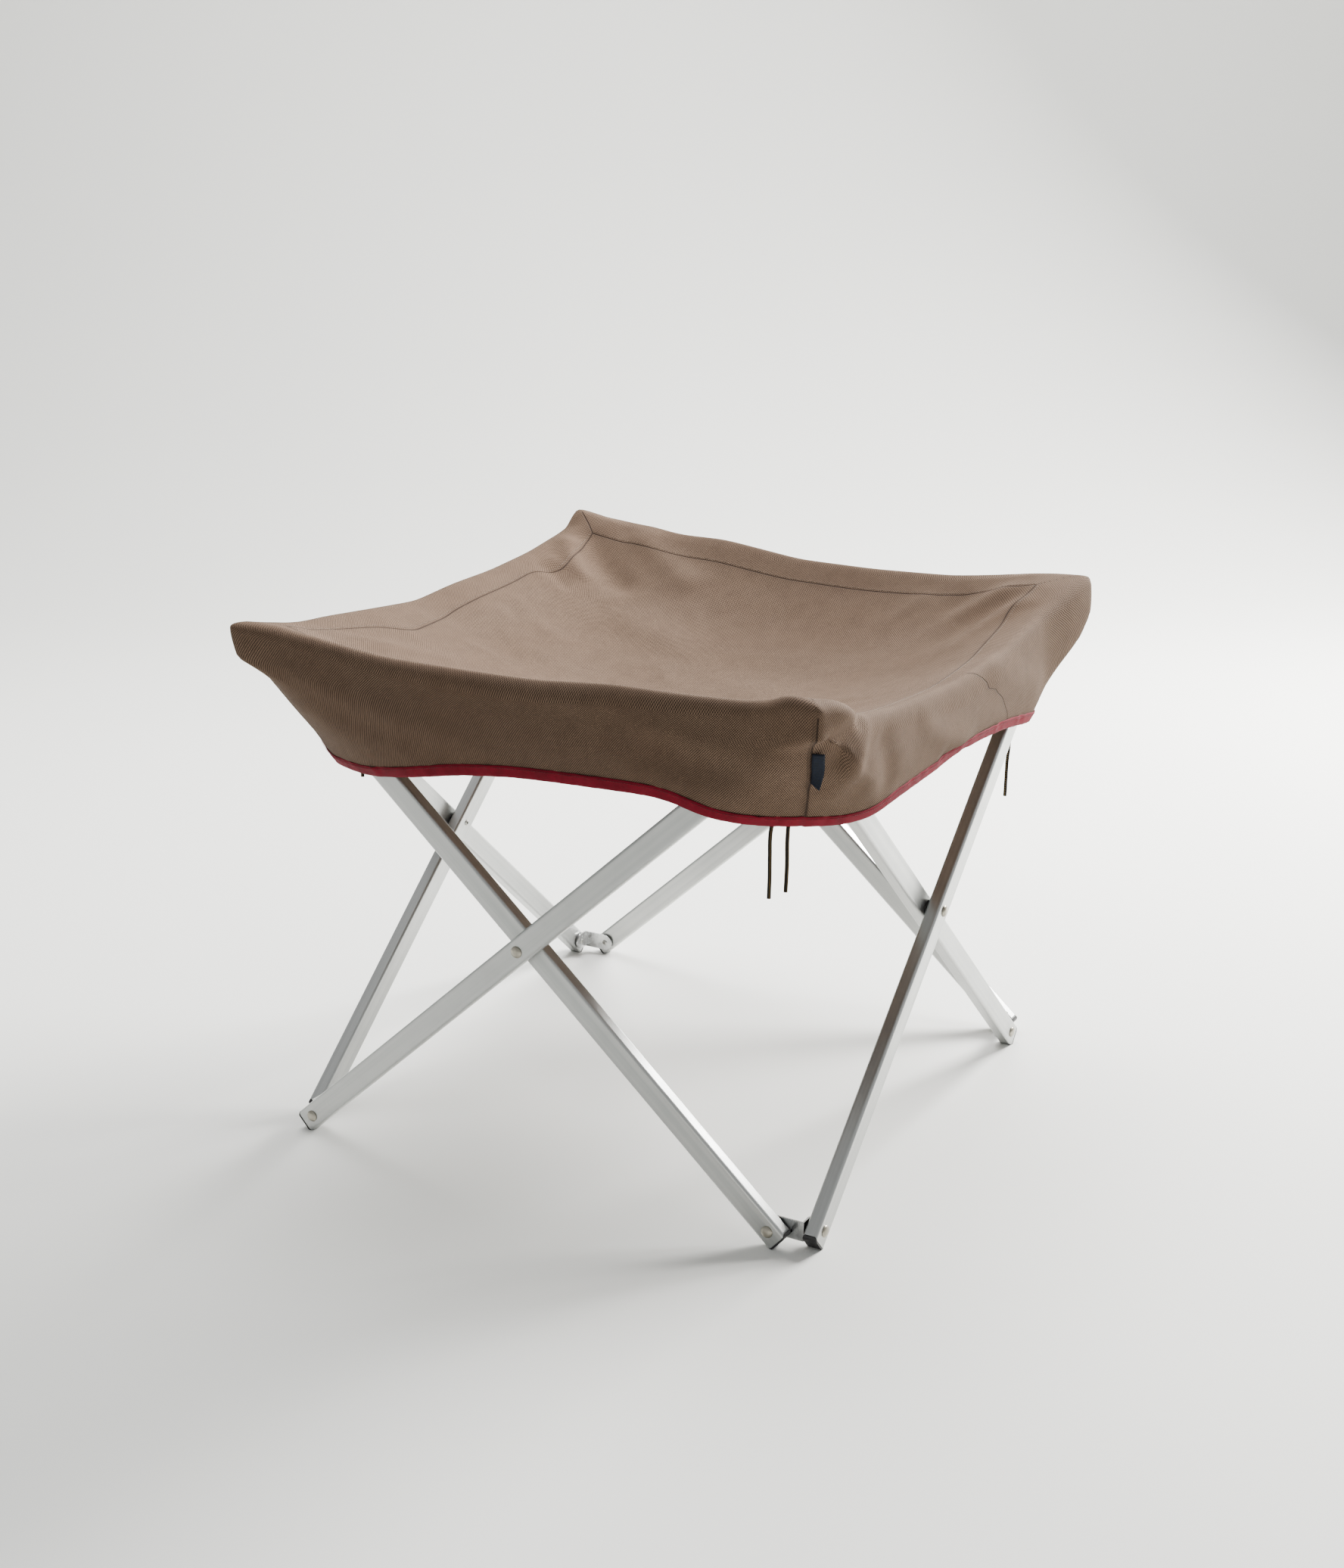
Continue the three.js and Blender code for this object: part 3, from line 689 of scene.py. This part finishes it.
GRABS = [
    # centre, radius, move
    ((335, -335, 508), 115, (17, -17, 0)),
    ((-331, 331, 540), 60, (-5, 5, 0)),
    ((325, 325, 573), 45, (-4, 2, 6)),
    ((-322, -295, 551), 26, (-2, 0, 4)),
    ((-275, -333, 533), 48, (0, -9, 4)),
]
STROKES = [
    # points, width, height
    ([(-218, -285, 530), (-80, -150, 478), (62, -63, 472), (140, 95, 482), (172, 250, 520)], 30, 5.0),
    ([(-255, -200, 505), (-120, -60, 475), (20, 60, 470), (60, 200, 490)], 34, -4.0),
    ([(305, -270, 545), (250, -215, 520), (190, -160, 498)], 13, 5.5),
    ([(290, -280, 545), (235, -235, 515), (170, -190, 490)], 12, -4.0),
    ([(300, -215, 535), (235, -180, 508), (160, -130, 488)], 12, -4.5),
    ([(300, -170, 530), (240, -130, 505), (170, -90, 485)], 13, 4.0),
    ([(275, -300, 540), (225, -262, 515), (150, -225, 490)], 12, 4.0),
    ([(300, 305, 560), (250, 250, 530), (200, 180, 500)], 20, -7.0),
    ([(270, 310, 555), (225, 280, 535), (190, 230, 515)], 13, 5.0),
    ([(310, 250, 560), (280, 180, 530), (240, 110, 500)], 22, 5.0),
    ([(184, 300, 540), (178, 268, 528), (160, 235, 515)], 9, -5.0),
    ([(205, 300, 542), (200, 262, 528)], 9, 3.0),
    ([(-262, 295, 540), (-190, 250, 515), (-90, 190, 488)], 18, 3.5),
    ([(-285, 262, 535), (-220, 200, 510), (-130, 120, 485)], 18, -3.5),
    ([(-102, 290, 528), (-80, 250, 510), (-40, 200, 492)], 12, -3.0),
    ([(-60, 295, 525), (-30, 255, 508)], 10, 2.5),
    ([(-300, -262, 548), (-262, -300, 549)], 15, 2.5),
    ([(-318, -318, 505), (-262, -330, 508), (-225, -330, 520)], 12, -8.0),
    ([(-300, -322, 480), (-262, -328, 486)], 12, -6.0),
    ([(-236, -334, 525), (-246, -332, 490), (-262, -322, 450), (-262, -310, 425)], 17, 6.0),
    ([(-290, -305, 465), (-276, -312, 440), (-272, -300, 420)], 10, -3.5),
    # front left skirt
    ([(-327, 300, 520), (-328, 200, 492), (-327, 90, 470), (-325, -20, 458)], 13, 2.6),
    ([(-327, 290, 500), (-326, 210, 470), (-325, 130, 450)], 15, -2.2),
    ([(-329, 160, 528), (-329, 40, 521), (-329, -80, 520), (-329, -180, 526)], 9, 2.2),
    ([(-328, -120, 515), (-327, -200, 500), (-326, -270, 497)], 12, 2.6),
    ([(-327, -140, 495), (-325, -210, 478), (-323, -280, 470)], 14, -2.4),
    ([(-326, -100, 470), (-324, -190, 455), (-320, -260, 450)], 13, 2.0),
    # front right skirt
    ([(-200, -330, 500), (-180, -326, 460), (-170, -322, 425)], 18, -3.0),
    ([(-120, -325, 490), (-40, -325, 450), (40, -322, 425)], 16, 3.0),
    ([(-60, -322, 440), (0, -322, 428), (40, -322, 424)], 10, -3.5),
    ([(60, -328, 500), (150, -326, 470), (240, -320, 440)], 20, 2.5),
]


def sculpt(points, faces):
    normals = normals_of(points, faces)
    move = np.zeros_like(points)
    for line, width, height in STROKES:
        move += stroke(points, normals, line, width, height)
    for centre, radius, by in GRABS:
        move += grab(points, centre, radius, by)
    rng = np.random.default_rng(7)
    for _ in range(WRINKLES):
        at = rng.uniform(-260, 260, 2)
        wide, long = rng.uniform(8, 18), rng.uniform(40, 120)
        turn = math.atan2(at[1], at[0]) + rng.normal(0, 0.35)
        z = float(seat_height(at[0], at[1]))
        step = np.array([math.cos(turn), math.sin(turn)]) * long / 2
        a, b = at - step, at + step
        line = [(*a, z + 2), (*at, z), (*b, z + 2)]
        move += stroke(points, normals, line, wide, rng.uniform(-1.1, 1.1))
    return points + move


# ---- Seams -----------------------------------------------
CROSS_SEAM = [
    (-0.17, 30), (-0.1, 45), (-0.03, 63), (0.1, 83), (0.33, 97), (0.57, 113), (0.73, 126), (1.0, 138),
]


def seam_distance(lines, row_count):
    """Signed distance to the nearest seam for every point, in metres, measured in the flat cloth."""
    gx, gy = np.meshgrid(lines, lines, indexing="xy")
    depth = np.maximum(np.abs(gx), np.abs(gy))
    other = np.minimum(np.abs(gx), np.abs(gy))
    panel = depth - BAND
    mitre = (depth - other) * DIAGONAL
    panel = np.where((depth > BAND - 1) & (mitre < np.abs(panel)), mitre, panel)
    wide = side_places(lines)
    values = [panel.ravel()]
    for row in range(1, row_count + 1):
        v = (row - FOLD_ROWS) / SKIRT_ROWS
        around = []
        for k in range(4):
            corner = EDGE_HALF - np.abs(wide)
            far = corner * (1 - 0.55 * max(v, 0)) + (0.0 if v > 0 else 3.0)
            if k == 0:
                at = np.interp(v, *np.array(CROSS_SEAM, float).T)
                cross = (wide - at) * 0.8
                far = np.where(np.abs(cross) < far, cross, far)
            around.append(far)
        values.append(np.concatenate(around))
    return np.concatenate(values) * MM


def cloth_uv(lines, row_count):
    """Flat cloth coordinates in metres for every point."""
    gx, gy = np.meshgrid(lines, lines, indexing="xy")
    uv = [np.stack([gx.ravel(), gy.ravel()], axis=-1)]
    wide = side_places(lines)
    drop = 0.0
    for i in range(row_count):
        drop += FOLD_STEP if i < FOLD_ROWS else SKIRT_STEP
        side = np.stack([wide, np.full_like(wide, -GRID_HALF - drop)], axis=-1)
        uv.append(np.concatenate([turned(side, k) for k in range(4)]))
    return np.concatenate(uv) * MM


def mesh_from(name, points, faces, uv=None, smooth=True):
    data = bpy.data.meshes.new(name)
    data.from_pydata([tuple(p) for p in points], [], [tuple(f) for f in faces])
    data.polygons.foreach_set("use_smooth", [smooth] * len(data.polygons))
    if uv is not None:
        layer = data.uv_layers.new(name="cloth")
        loops = np.zeros(len(data.loops), np.int32)
        data.loops.foreach_get("vertex_index", loops)
        layer.data.foreach_set("uv", np.asarray(uv, np.float32)[loops].ravel())
    data.update()
    return data


def solidify(obj, thick, offset=-1.0):
    m = obj.modifiers.new("thickness", "SOLIDIFY")
    m.thickness = thick * MM
    m.offset = offset
    m.use_even_offset = False


FOLD_REACH = 265.0    # the tops' pivots; cloth past them keeps its distance from the nearest one
SEAT_DROP = 0.95      # how much of the tops' rise the seat's middle stays behind as the stool folds
FOLDED_HALF = 36.3    # half the folded tops' pivot spacing


def fold_shares(points, spread):
    """How much each point moves with the other three tops, and stays with the feet, as the stool folds.

    spread is where a point would be if its corner weren't tucked in: the cloth lies there when
    folded, outside the upright bars.
    """
    folded = np.where(
        np.abs(spread) < FOLD_REACH,
        spread * FOLDED_HALF / FOLD_REACH,
        spread - np.sign(spread) * (FOLD_REACH - FOLDED_HALF),
    )
    travel = FOLD_REACH - FOLDED_HALF
    moved = np.clip((points + travel - folded) / (2 * travel), 0, 1)
    u, v = moved[:, 0], moved[:, 1]
    out = np.clip(((spread / FOLD_REACH) ** 4).sum(axis=1), 0, 1) ** 0.25
    return np.stack([u * (1 - v), u * v, (1 - u) * v, SEAT_DROP * (1 - out ** 2) ** 1.2], axis=-1)


def follow_tops(piece, tree, shares):
    """Gathers the piece with the cloth under it as the top corners come together."""
    near = [tree.find(vertex.co)[1] for vertex in piece.data.vertices]
    for body, share in zip(("right_top", "back_top", "left_top", "front_foot"), shares[near].T):
        group = piece.vertex_groups.new(name=body)
        for i in np.flatnonzero(share > 1e-4):
            group.add([int(i)], float(share[i]), "REPLACE")
        hook = piece.modifiers.new(body, "HOOK")
        hook.object = BODIES[body]
        hook.vertex_group = body
        hook.falloff_type = "NONE"
        hook.matrix_inverse = BODIES[body].matrix_world.inverted() @ piece.matrix_world


def make_cover():
    lines, panel, rows = cover_points()
    n = len(lines)
    points = np.concatenate([panel.reshape(-1, 3), *rows])
    faces = cover_faces(n, len(rows))
    points = sculpt(points, faces)
    uv = cloth_uv(lines, len(rows))
    data = mesh_from("seat_canvas", points * MM, faces, uv)
    seam = data.attributes.new("seam", "FLOAT", "POINT")
    seam.data.foreach_set("value", seam_distance(lines, len(rows)).astype(np.float32))
    shares = fold_shares(points[:, :2], np.clip(uv / MM, -EDGE_HALF, EDGE_HALF))
    tree = KDTree(len(points))
    for i, point in enumerate(points):
        tree.insert(point * MM, i)
    tree.balance()
    piece = new_object("seat_canvas", data)
    data.materials.append(canvas_material())
    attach(piece, "front_top")
    follow_tops(piece, tree, shares)
    solidify(piece, CLOTH)
    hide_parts("seat_cover")
    return piece, points, n, len(rows), (tree, shares)


# ---- Hem binding -----------------------------------------
BINDING_PROFILE = [  # how far out of the cloth, and how far up the skirt from the hem
    (0.35, 10.9), (1.0, 10.5), (1.35, 8.4), (1.3, 5.0), (1.45, 2.0), (1.2, -0.2), (0.1, -1.1),
    (-1.2, -1.2), (-2.3, -0.1), (-2.5, 3.5), (-2.3, 7.0), (-1.6, 10.0),
]


TAPE_THICK = 0.45


def hem_and_up(points, n):
    """The hem's points, and from each the way up the skirt."""
    around = 4 * (n - 1)
    hem, above = points[-around:], points[-3 * around - around:-2 * around - around]
    up = above - hem
    return hem, up / np.linalg.norm(up, axis=1, keepdims=True)


def make_binding(points, n, gather):
    hem, up = hem_and_up(points, n)
    around = len(hem)
    along = np.roll(hem, -1, axis=0) - np.roll(hem, 1, axis=0)
    along /= np.linalg.norm(along, axis=1, keepdims=True)
    out = np.cross(along, up)
    length = lengths_along(hem)
    rng = np.random.default_rng(3)
    pucker = np.zeros(around)
    at = 0.0
    while at < length[-1]:
        wide = rng.uniform(2.0, 5.0)
        pucker += rng.uniform(-1.3, 1.3) * np.exp(-(((length - at) / wide) ** 2))
        at += rng.uniform(9, 26)
    rings = []
    for o, u in BINDING_PROFILE:
        lift = pucker * np.clip(u / 9, 0.1, 1)
        sway = 0.25 * np.sin(length / 4.1) + 0.2 * np.sin(length / 1.9 + 1)
        lift = lift * np.sign(o) * (1 if o > 0 else 0.6)
        rings.append(hem + out * (o + lift)[:, None] + up * (u + sway * 0.4)[:, None])
    count = len(rings)
    verts = np.concatenate(rings)
    faces, uv = [], []
    for r in range(count - 1):
        for i in range(around):
            j = (i + 1) % around
            faces.append((r * around + i, (r + 1) * around + i, (r + 1) * around + j, r * around + j))
    for r in range(count):
        uv.append(np.stack([length, np.full(around, 2.0 * r)], axis=-1))
    data = mesh_from("hem_tape", verts * MM, faces, np.concatenate(uv) * MM)
    piece = new_object("hem_tape", data)
    data.materials.append(binding_material())
    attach(piece, "front_top")
    follow_tops(piece, *gather)
    solidify(piece, TAPE_THICK, 0.0)
    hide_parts("hem_binding")
    return piece


# ---- Stitching -------------------------------------------
STITCH_SIDES = 5
STITCH_PROFILE = [  # place along the stitch, share of its radius, lift
    (-0.5, 0.35, -0.25), (-0.3, 1, 0.12), (0, 1.1, 0.2), (0.3, 1, 0.12), (0.5, 0.35, -0.25),
]
BAND_STITCH = {"pitch": 3.4, "length": 2.5, "radius": 0.32}
HEM_STITCH = {"pitch": 3.0, "length": 2.1, "radius": 0.25}
BAND_STITCH_OUT = 3.2            # outwards from the band's seam
HEM_STITCH_UP, HEM_STITCH_OUT = 8.8, 1.75


def stitch_meshes(paths, normals, pitch, length, radius):
    """Small rounded thread lengths laid along paths of points, each with a normal."""
    verts, faces = [], []
    for line, normal in zip(paths, normals):
        far = lengths_along(line)
        for at in np.arange(pitch, far[-1] - pitch, pitch):
            centre, up = between(at, far, line), between(at, far, normal)
            ahead, behind = between(at + 1, far, line), between(at - 1, far, line)
            go = (ahead - behind) / max(np.linalg.norm(ahead - behind), 1e-9)
            up /= max(np.linalg.norm(up), 1e-9)
            side = np.cross(go, up)
            start = len(verts)
            for t, r, lift in STITCH_PROFILE:
                for a in range(STITCH_SIDES):
                    angle = 2 * math.pi * a / STITCH_SIDES
                    verts.append(
                        centre + go * (t * length) + up * lift
                        + (side * math.cos(angle) + up * math.sin(angle)) * radius * r
                    )
            last = start + (len(STITCH_PROFILE) - 1) * STITCH_SIDES
            for i in range(start, last, STITCH_SIDES):
                j = i + STITCH_SIDES
                for a in range(STITCH_SIDES):
                    b = (a + 1) % STITCH_SIDES
                    faces.append((i + a, i + b, j + b, j + a))
            faces.append(tuple(range(start, start + STITCH_SIDES))[::-1])
            faces.append(tuple(range(last, last + STITCH_SIDES)))
    return np.array(verts), faces


def band_paths(points, normals, n):
    """Just outside the band's seam, with the cloth's normals."""
    lines = grid_lines()
    grid = np.arange(n * n).reshape(n, n)

    def column(value):
        return int(np.argmin(np.abs(lines - value)))

    low, high = column(-BAND), column(BAND)
    ids = []
    for value in (-BAND - BAND_STITCH_OUT, BAND + BAND_STITCH_OUT):
        j = column(value)
        ids += [grid[j, low:high + 1], grid[low:high + 1, j]]
    return [points[i] for i in ids], [normals[i] for i in ids]


def hem_path(points, normals, n):
    """Round the binding's upper edge, closed, with the cloth's normals."""
    hem, up = hem_and_up(points, n)
    out = normals[-len(hem):]
    line = hem + up * HEM_STITCH_UP + out * HEM_STITCH_OUT
    return [np.concatenate([line, line[:1]])], [np.concatenate([out, out[:1]])]


def make_thread(name, paths, size, look, gather):
    verts, faces = stitch_meshes(*paths, **size)
    piece = new_object(name, mesh_from(name, verts * MM, faces))
    piece.data.materials.append(look)
    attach(piece, "front_top")
    follow_tops(piece, *gather)
    return piece


def make_threads(points, faces, n, gather):
    normals = normals_of(points, faces)
    brown = thread_material("thread", linear(84, 68, 55), linear(138, 118, 100))
    red = thread_material("red_thread", linear(60, 5, 14), linear(104, 16, 30))
    band, hem = band_paths(points, normals, n), hem_path(points, normals, n)
    return (
        make_thread("band_stitching", band, BAND_STITCH, brown, gather),
        make_thread("hem_stitching", hem, HEM_STITCH, red, gather),
    )


# ---- Frame parts -----------------------------------------
WELD_GAP = 0.00002               # metres, as is the next
EDGE_WIDTH = 0.0003
EDGE_ANGLE = math.radians(40.0)


def smooth_node(node):
    """Rounds the shading of a CAD node's curved faces and keeps its real edges."""
    weld = node.modifiers.new("weld", "WELD")
    weld.merge_threshold = WELD_GAP
    bevel = node.modifiers.new("edges", "BEVEL")
    bevel.width = EDGE_WIDTH
    bevel.segments = 2
    bevel.limit_method = "ANGLE"
    bevel.angle_limit = EDGE_ANGLE


def dress_frame():
    grain = {}
    for across in (0, 1):
        for rise, word in ((1, "up"), (-1, "down")):
            name = f"aluminium_{across}_{word}"
            grain[across, rise] = aluminium_material(name, REST_ANGLE * rise, across == 1)
    rivet = steel_material("rivet_metal", linear(196, 196, 192), linear(150, 148, 142), 0.22)
    steel = steel_material("bracket_steel", linear(205, 206, 206), linear(160, 160, 160), 0.16)
    plug = plastic_material("plug_plastic", linear(20, 20, 22), linear(48, 47, 46), 900.0)
    for name, node in NODES.items():
        look = None
        if name.endswith("_bar"):
            k = SIDES.index(name.rsplit("_", 2)[0])
            outer = name.endswith("outer_bar")
            rise = (1 if outer else -1) * (1 if k < 2 else -1)
            look = grain[(k % 2, rise)]
        elif name.endswith("rivet"):
            look = rivet
        elif name.endswith("bracket"):
            look = steel
        elif name.endswith("plug") or name.endswith("top_corner"):
            look = plug
        if look is not None:
            for s in node.material_slots:
                s.material = look
            smooth_node(node)


# ---- Washers and spacers ---------------------------------
PIVOT_X, PIVOT_LOW, PIVOT_HIGH = 268.118, 17.517, 495.286
OUTER_BACK, INNER_FRONT, INNER_BACK = -300.5, -297.2, -282.2
WASHER_THICK, WASHER_RADIUS, WASHER_BORE = 1.5, 7.2, 2.9
WASHER_EASE, WASHER_GAP = 0.3, 0.1
SPACER_RADIUS = 8.5
CROSS_HEIGHT = (PIVOT_LOW + PIVOT_HIGH) / 2
WASHER_SEGMENTS, HEAD_SEGMENTS = 28, 32


def corner_pivots(side):
    """Each corner pivot of a side: name, body, and place in the side's frame."""
    outer, inner = f"{side}_outer", f"{side}_inner"
    return [
        (f"{outer}_foot", outer, -PIVOT_X, PIVOT_LOW), (f"{outer}_top", outer, PIVOT_X, PIVOT_HIGH),
        (f"{inner}_foot", inner, PIVOT_X, PIVOT_LOW), (f"{inner}_top", inner, -PIVOT_X, PIVOT_HIGH),
    ]


def washer(name, body, k, x, z, y0, thick, radius, look):
    """A ring along Y in side k's frame, with eased edges."""
    y1 = y0 + thick
    rim = radius - WASHER_EASE
    profile = [
        (WASHER_BORE, y0 + WASHER_GAP), (rim, y0 + WASHER_GAP), (radius, y0 + WASHER_EASE),
        (radius, y1 - WASHER_EASE), (rim, y1 - WASHER_GAP), (WASHER_BORE, y1 - WASHER_GAP),
    ]
    count, row = WASHER_SEGMENTS, len(profile)
    verts, faces = [], []
    for a in range(count):
        angle = 2 * math.pi * a / count
        for r, y in profile:
            verts.append((x + r * math.cos(angle), y, z + r * math.sin(angle)))
    for a in range(count):
        b = (a + 1) % count
        for i in range(row):
            j = (i + 1) % row
            faces.append((a * row + i, a * row + j, b * row + j, b * row + i))
    piece = new_object(name, mesh_from(name, turned(np.array(verts), k) * MM, faces, smooth=False))
    piece.data.materials.append(look)
    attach(piece, body)


RIVET_HEAD = [  # radius and height of a domed head's profile, from its rim to its middle
    (6.0, 0.0), (6.1, 0.5), (5.8, 1.1), (5.1, 1.7), (4.0, 2.3), (2.4, 2.7), (1.0, 2.85), (0.0, 2.9),
]
OUTER_FACE = -315.5


def rivet_head(name, body, k, x, z, face, look):
    """A domed head that stands out from a bar's outer face in side k's frame."""
    count = HEAD_SEGMENTS
    verts, faces = [], []
    for radius, height in RIVET_HEAD[:-1]:
        for a in range(count):
            angle = 2 * math.pi * a / count
            verts.append((x + radius * math.cos(angle), face - height, z + radius * math.sin(angle)))
    verts.append((x, face - RIVET_HEAD[-1][1], z))
    rows = len(RIVET_HEAD) - 1
    for a in range(count):
        b = (a + 1) % count
        for i in range(rows - 1):
            faces.append((i * count + a, i * count + b, (i + 1) * count + b, (i + 1) * count + a))
        faces.append(((rows - 1) * count + a, (rows - 1) * count + b, len(verts) - 1))
    faces.append(tuple(range(count))[::-1])
    piece = new_object(name, mesh_from(name, turned(np.array(verts), k) * MM, faces))
    piece.data.polygons[-1].use_smooth = False
    piece.data.materials.append(look)
    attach(piece, body)


def make_rivet_heads():
    look = steel_material("rivet_head_metal", linear(176, 171, 158), linear(132, 127, 116), 0.3)
    for k, side in enumerate(SIDES):
        outer = f"{side}_outer"
        rivet_head(f"{side}_centre_head", outer, k, 0, CROSS_HEIGHT, OUTER_FACE, look)
        for name, body, x, z in corner_pivots(side):
            face = OUTER_FACE if body == outer else INNER_FRONT
            rivet_head(f"{name}_head", body, k, x, z, face, look)


def make_washers():
    nylon = plastic_material("nylon", linear(24, 24, 26), linear(60, 59, 57), 700.0)
    thin = (WASHER_THICK, WASHER_RADIUS, nylon)
    thick = (INNER_FRONT - OUTER_BACK, SPACER_RADIUS, nylon)
    for k, side in enumerate(SIDES):
        outer = f"{side}_outer"
        washer(f"{side}_centre_spacer", outer, k, 0, CROSS_HEIGHT, OUTER_BACK, *thick)
        for name, body, x, z in corner_pivots(side):
            face = OUTER_BACK if body == outer else INNER_BACK
            washer(f"{name}_washer", body, k, x, z, face, *thin)


# ---- Label -----------------------------------------------
LABEL_TOP, LABEL_LOW = 497.0, 465.0
LABEL_WIDTH, LABEL_THICK = 11.5, 0.9
LABEL_ROWS, LABEL_COLUMNS = 15, 8


def make_label(points, n, row_count):
    """A folded tab sewn into the front corner's seam, curling away from the skirt."""
    around = 4 * (n - 1)
    rows = n * n + np.arange(row_count) * around
    seam, beside = points[rows], points[rows + 6]
    order = np.argsort(seam[:, 2])
    heights = np.linspace(LABEL_TOP, LABEL_LOW, LABEL_ROWS)
    edge = between(heights, seam[order, 2], seam[order])
    near = between(heights, beside[order, 2], beside[order])
    right = near - edge
    right[:, 2] = 0
    right /= np.linalg.norm(right, axis=1, keepdims=True)
    out = np.stack([right[:, 1], -right[:, 0], np.zeros(len(right))], axis=-1)
    verts, faces = [], []
    columns = LABEL_COLUMNS
    for i in range(LABEL_ROWS):
        down = i / (LABEL_ROWS - 1)
        reach = LABEL_WIDTH * (1 - 0.5 * max(0.0, down - 0.35) / 0.65)
        for c in range(columns):
            w = c / (columns - 1)
            lift = 0.6 + 3.6 * math.sin(1.3 * w) + 2.4 * down * w
            sag = -4.5 * w * down - 1.5 * w
            verts.append(edge[i] + right[i] * reach * w + out[i] * lift + np.array([0, 0, sag]))
    for i in range(LABEL_ROWS - 1):
        for c in range(columns - 1):
            a = i * columns + c
            faces.append((a, a + columns, a + columns + 1, a + 1))
    piece = new_object("woven_tab", mesh_from("woven_tab", np.array(verts) * MM, faces))
    piece.data.materials.append(label_material())
    solidify(piece, LABEL_THICK, 0.0)
    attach(piece, "front_top")
    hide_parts("side_label")


# ---- Room and light --------------------------------------
# Metres: the floor's near end and flat run, the sweep up to the wall, its height, half its width.
FLOOR_NEAR, FLOOR_FLAT, SWEEP, WALL_HIGH, ROOM_HALF = -5.0, 2.4, 1.6, 6.0, 6.0
SWEEP_STEPS = 12


def make_room():
    verts, faces = [], []
    turn = np.array([-math.sin(CAMERA_YAW), math.cos(CAMERA_YAW)])
    side = np.array([turn[1], -turn[0]])
    profile = [(FLOOR_NEAR, 0.0), (FLOOR_FLAT, 0.0)]
    for i in range(1, SWEEP_STEPS + 1):
        a = math.pi / 2 * i / SWEEP_STEPS
        profile.append((FLOOR_FLAT + SWEEP * math.sin(a), SWEEP * (1 - math.cos(a))))
    profile.append((FLOOR_FLAT + SWEEP, WALL_HIGH))
    for d, z in profile:
        for s in (-ROOM_HALF, ROOM_HALF):
            p = turn * d + side * s
            verts.append((p[0], p[1], z))
    for i in range(len(profile) - 1):
        faces.append((2 * i, 2 * i + 1, 2 * i + 3, 2 * i + 2))
    data = mesh_from("backdrop", verts, faces)
    room = new_object("backdrop", data)
    n = Nodes("paper")
    cloud = n.noise(n.place(), 0.8, 2.0)
    color = n.mix(n.ramp(cloud, 0.3, 0.7), linear(226, 226, 222), linear(230, 230, 226))
    data.materials.append(n.look(Base_Color=color, Roughness=0.85, Specular_IOR_Level=0.2))


def area_light(name, place, aim, size, power, color=(1, 1, 1)):
    data = bpy.data.lights.new(name, "AREA")
    data.shape = "RECTANGLE"
    data.size, data.size_y = size
    data.energy = power
    data.color = color
    lamp = new_object(name, data)
    lamp.location = place
    lamp.rotation_euler = (Vector(aim) - Vector(place)).to_track_quat("-Z", "Y").to_euler()


def make_light():
    world = bpy.data.worlds.new("studio")
    bpy.context.scene.world = world
    world.use_nodes = True
    back = world.node_tree.nodes["Background"]
    back.inputs["Color"].default_value = (0.93, 0.95, 0.95, 1)
    back.inputs["Strength"].default_value = 0.56
    area_light("key", (2.7, -1.1, 1.9), (0, 0, 0.4), (1.3, 1.3), 480, (1, 0.99, 0.97))
    area_light("top", (1.0, 0.9, 3.0), (0, 0, 0.4), (2.0, 2.0), 150)
    area_light("wall", (0.6, 0.3, 3.2), (3.6, 2.0, 1.5), (2.0, 2.0), 90)


make_camera()
make_cords()
cover, cover_mm, grid_count, row_total, gathering = make_cover()
tape = make_binding(cover_mm, grid_count, gathering)
stitches = make_threads(cover_mm, cover_faces(grid_count, row_total), grid_count, gathering)
make_label(cover_mm, grid_count, row_total)
dress_frame()
make_washers()
make_rivet_heads()
make_room()
make_light()
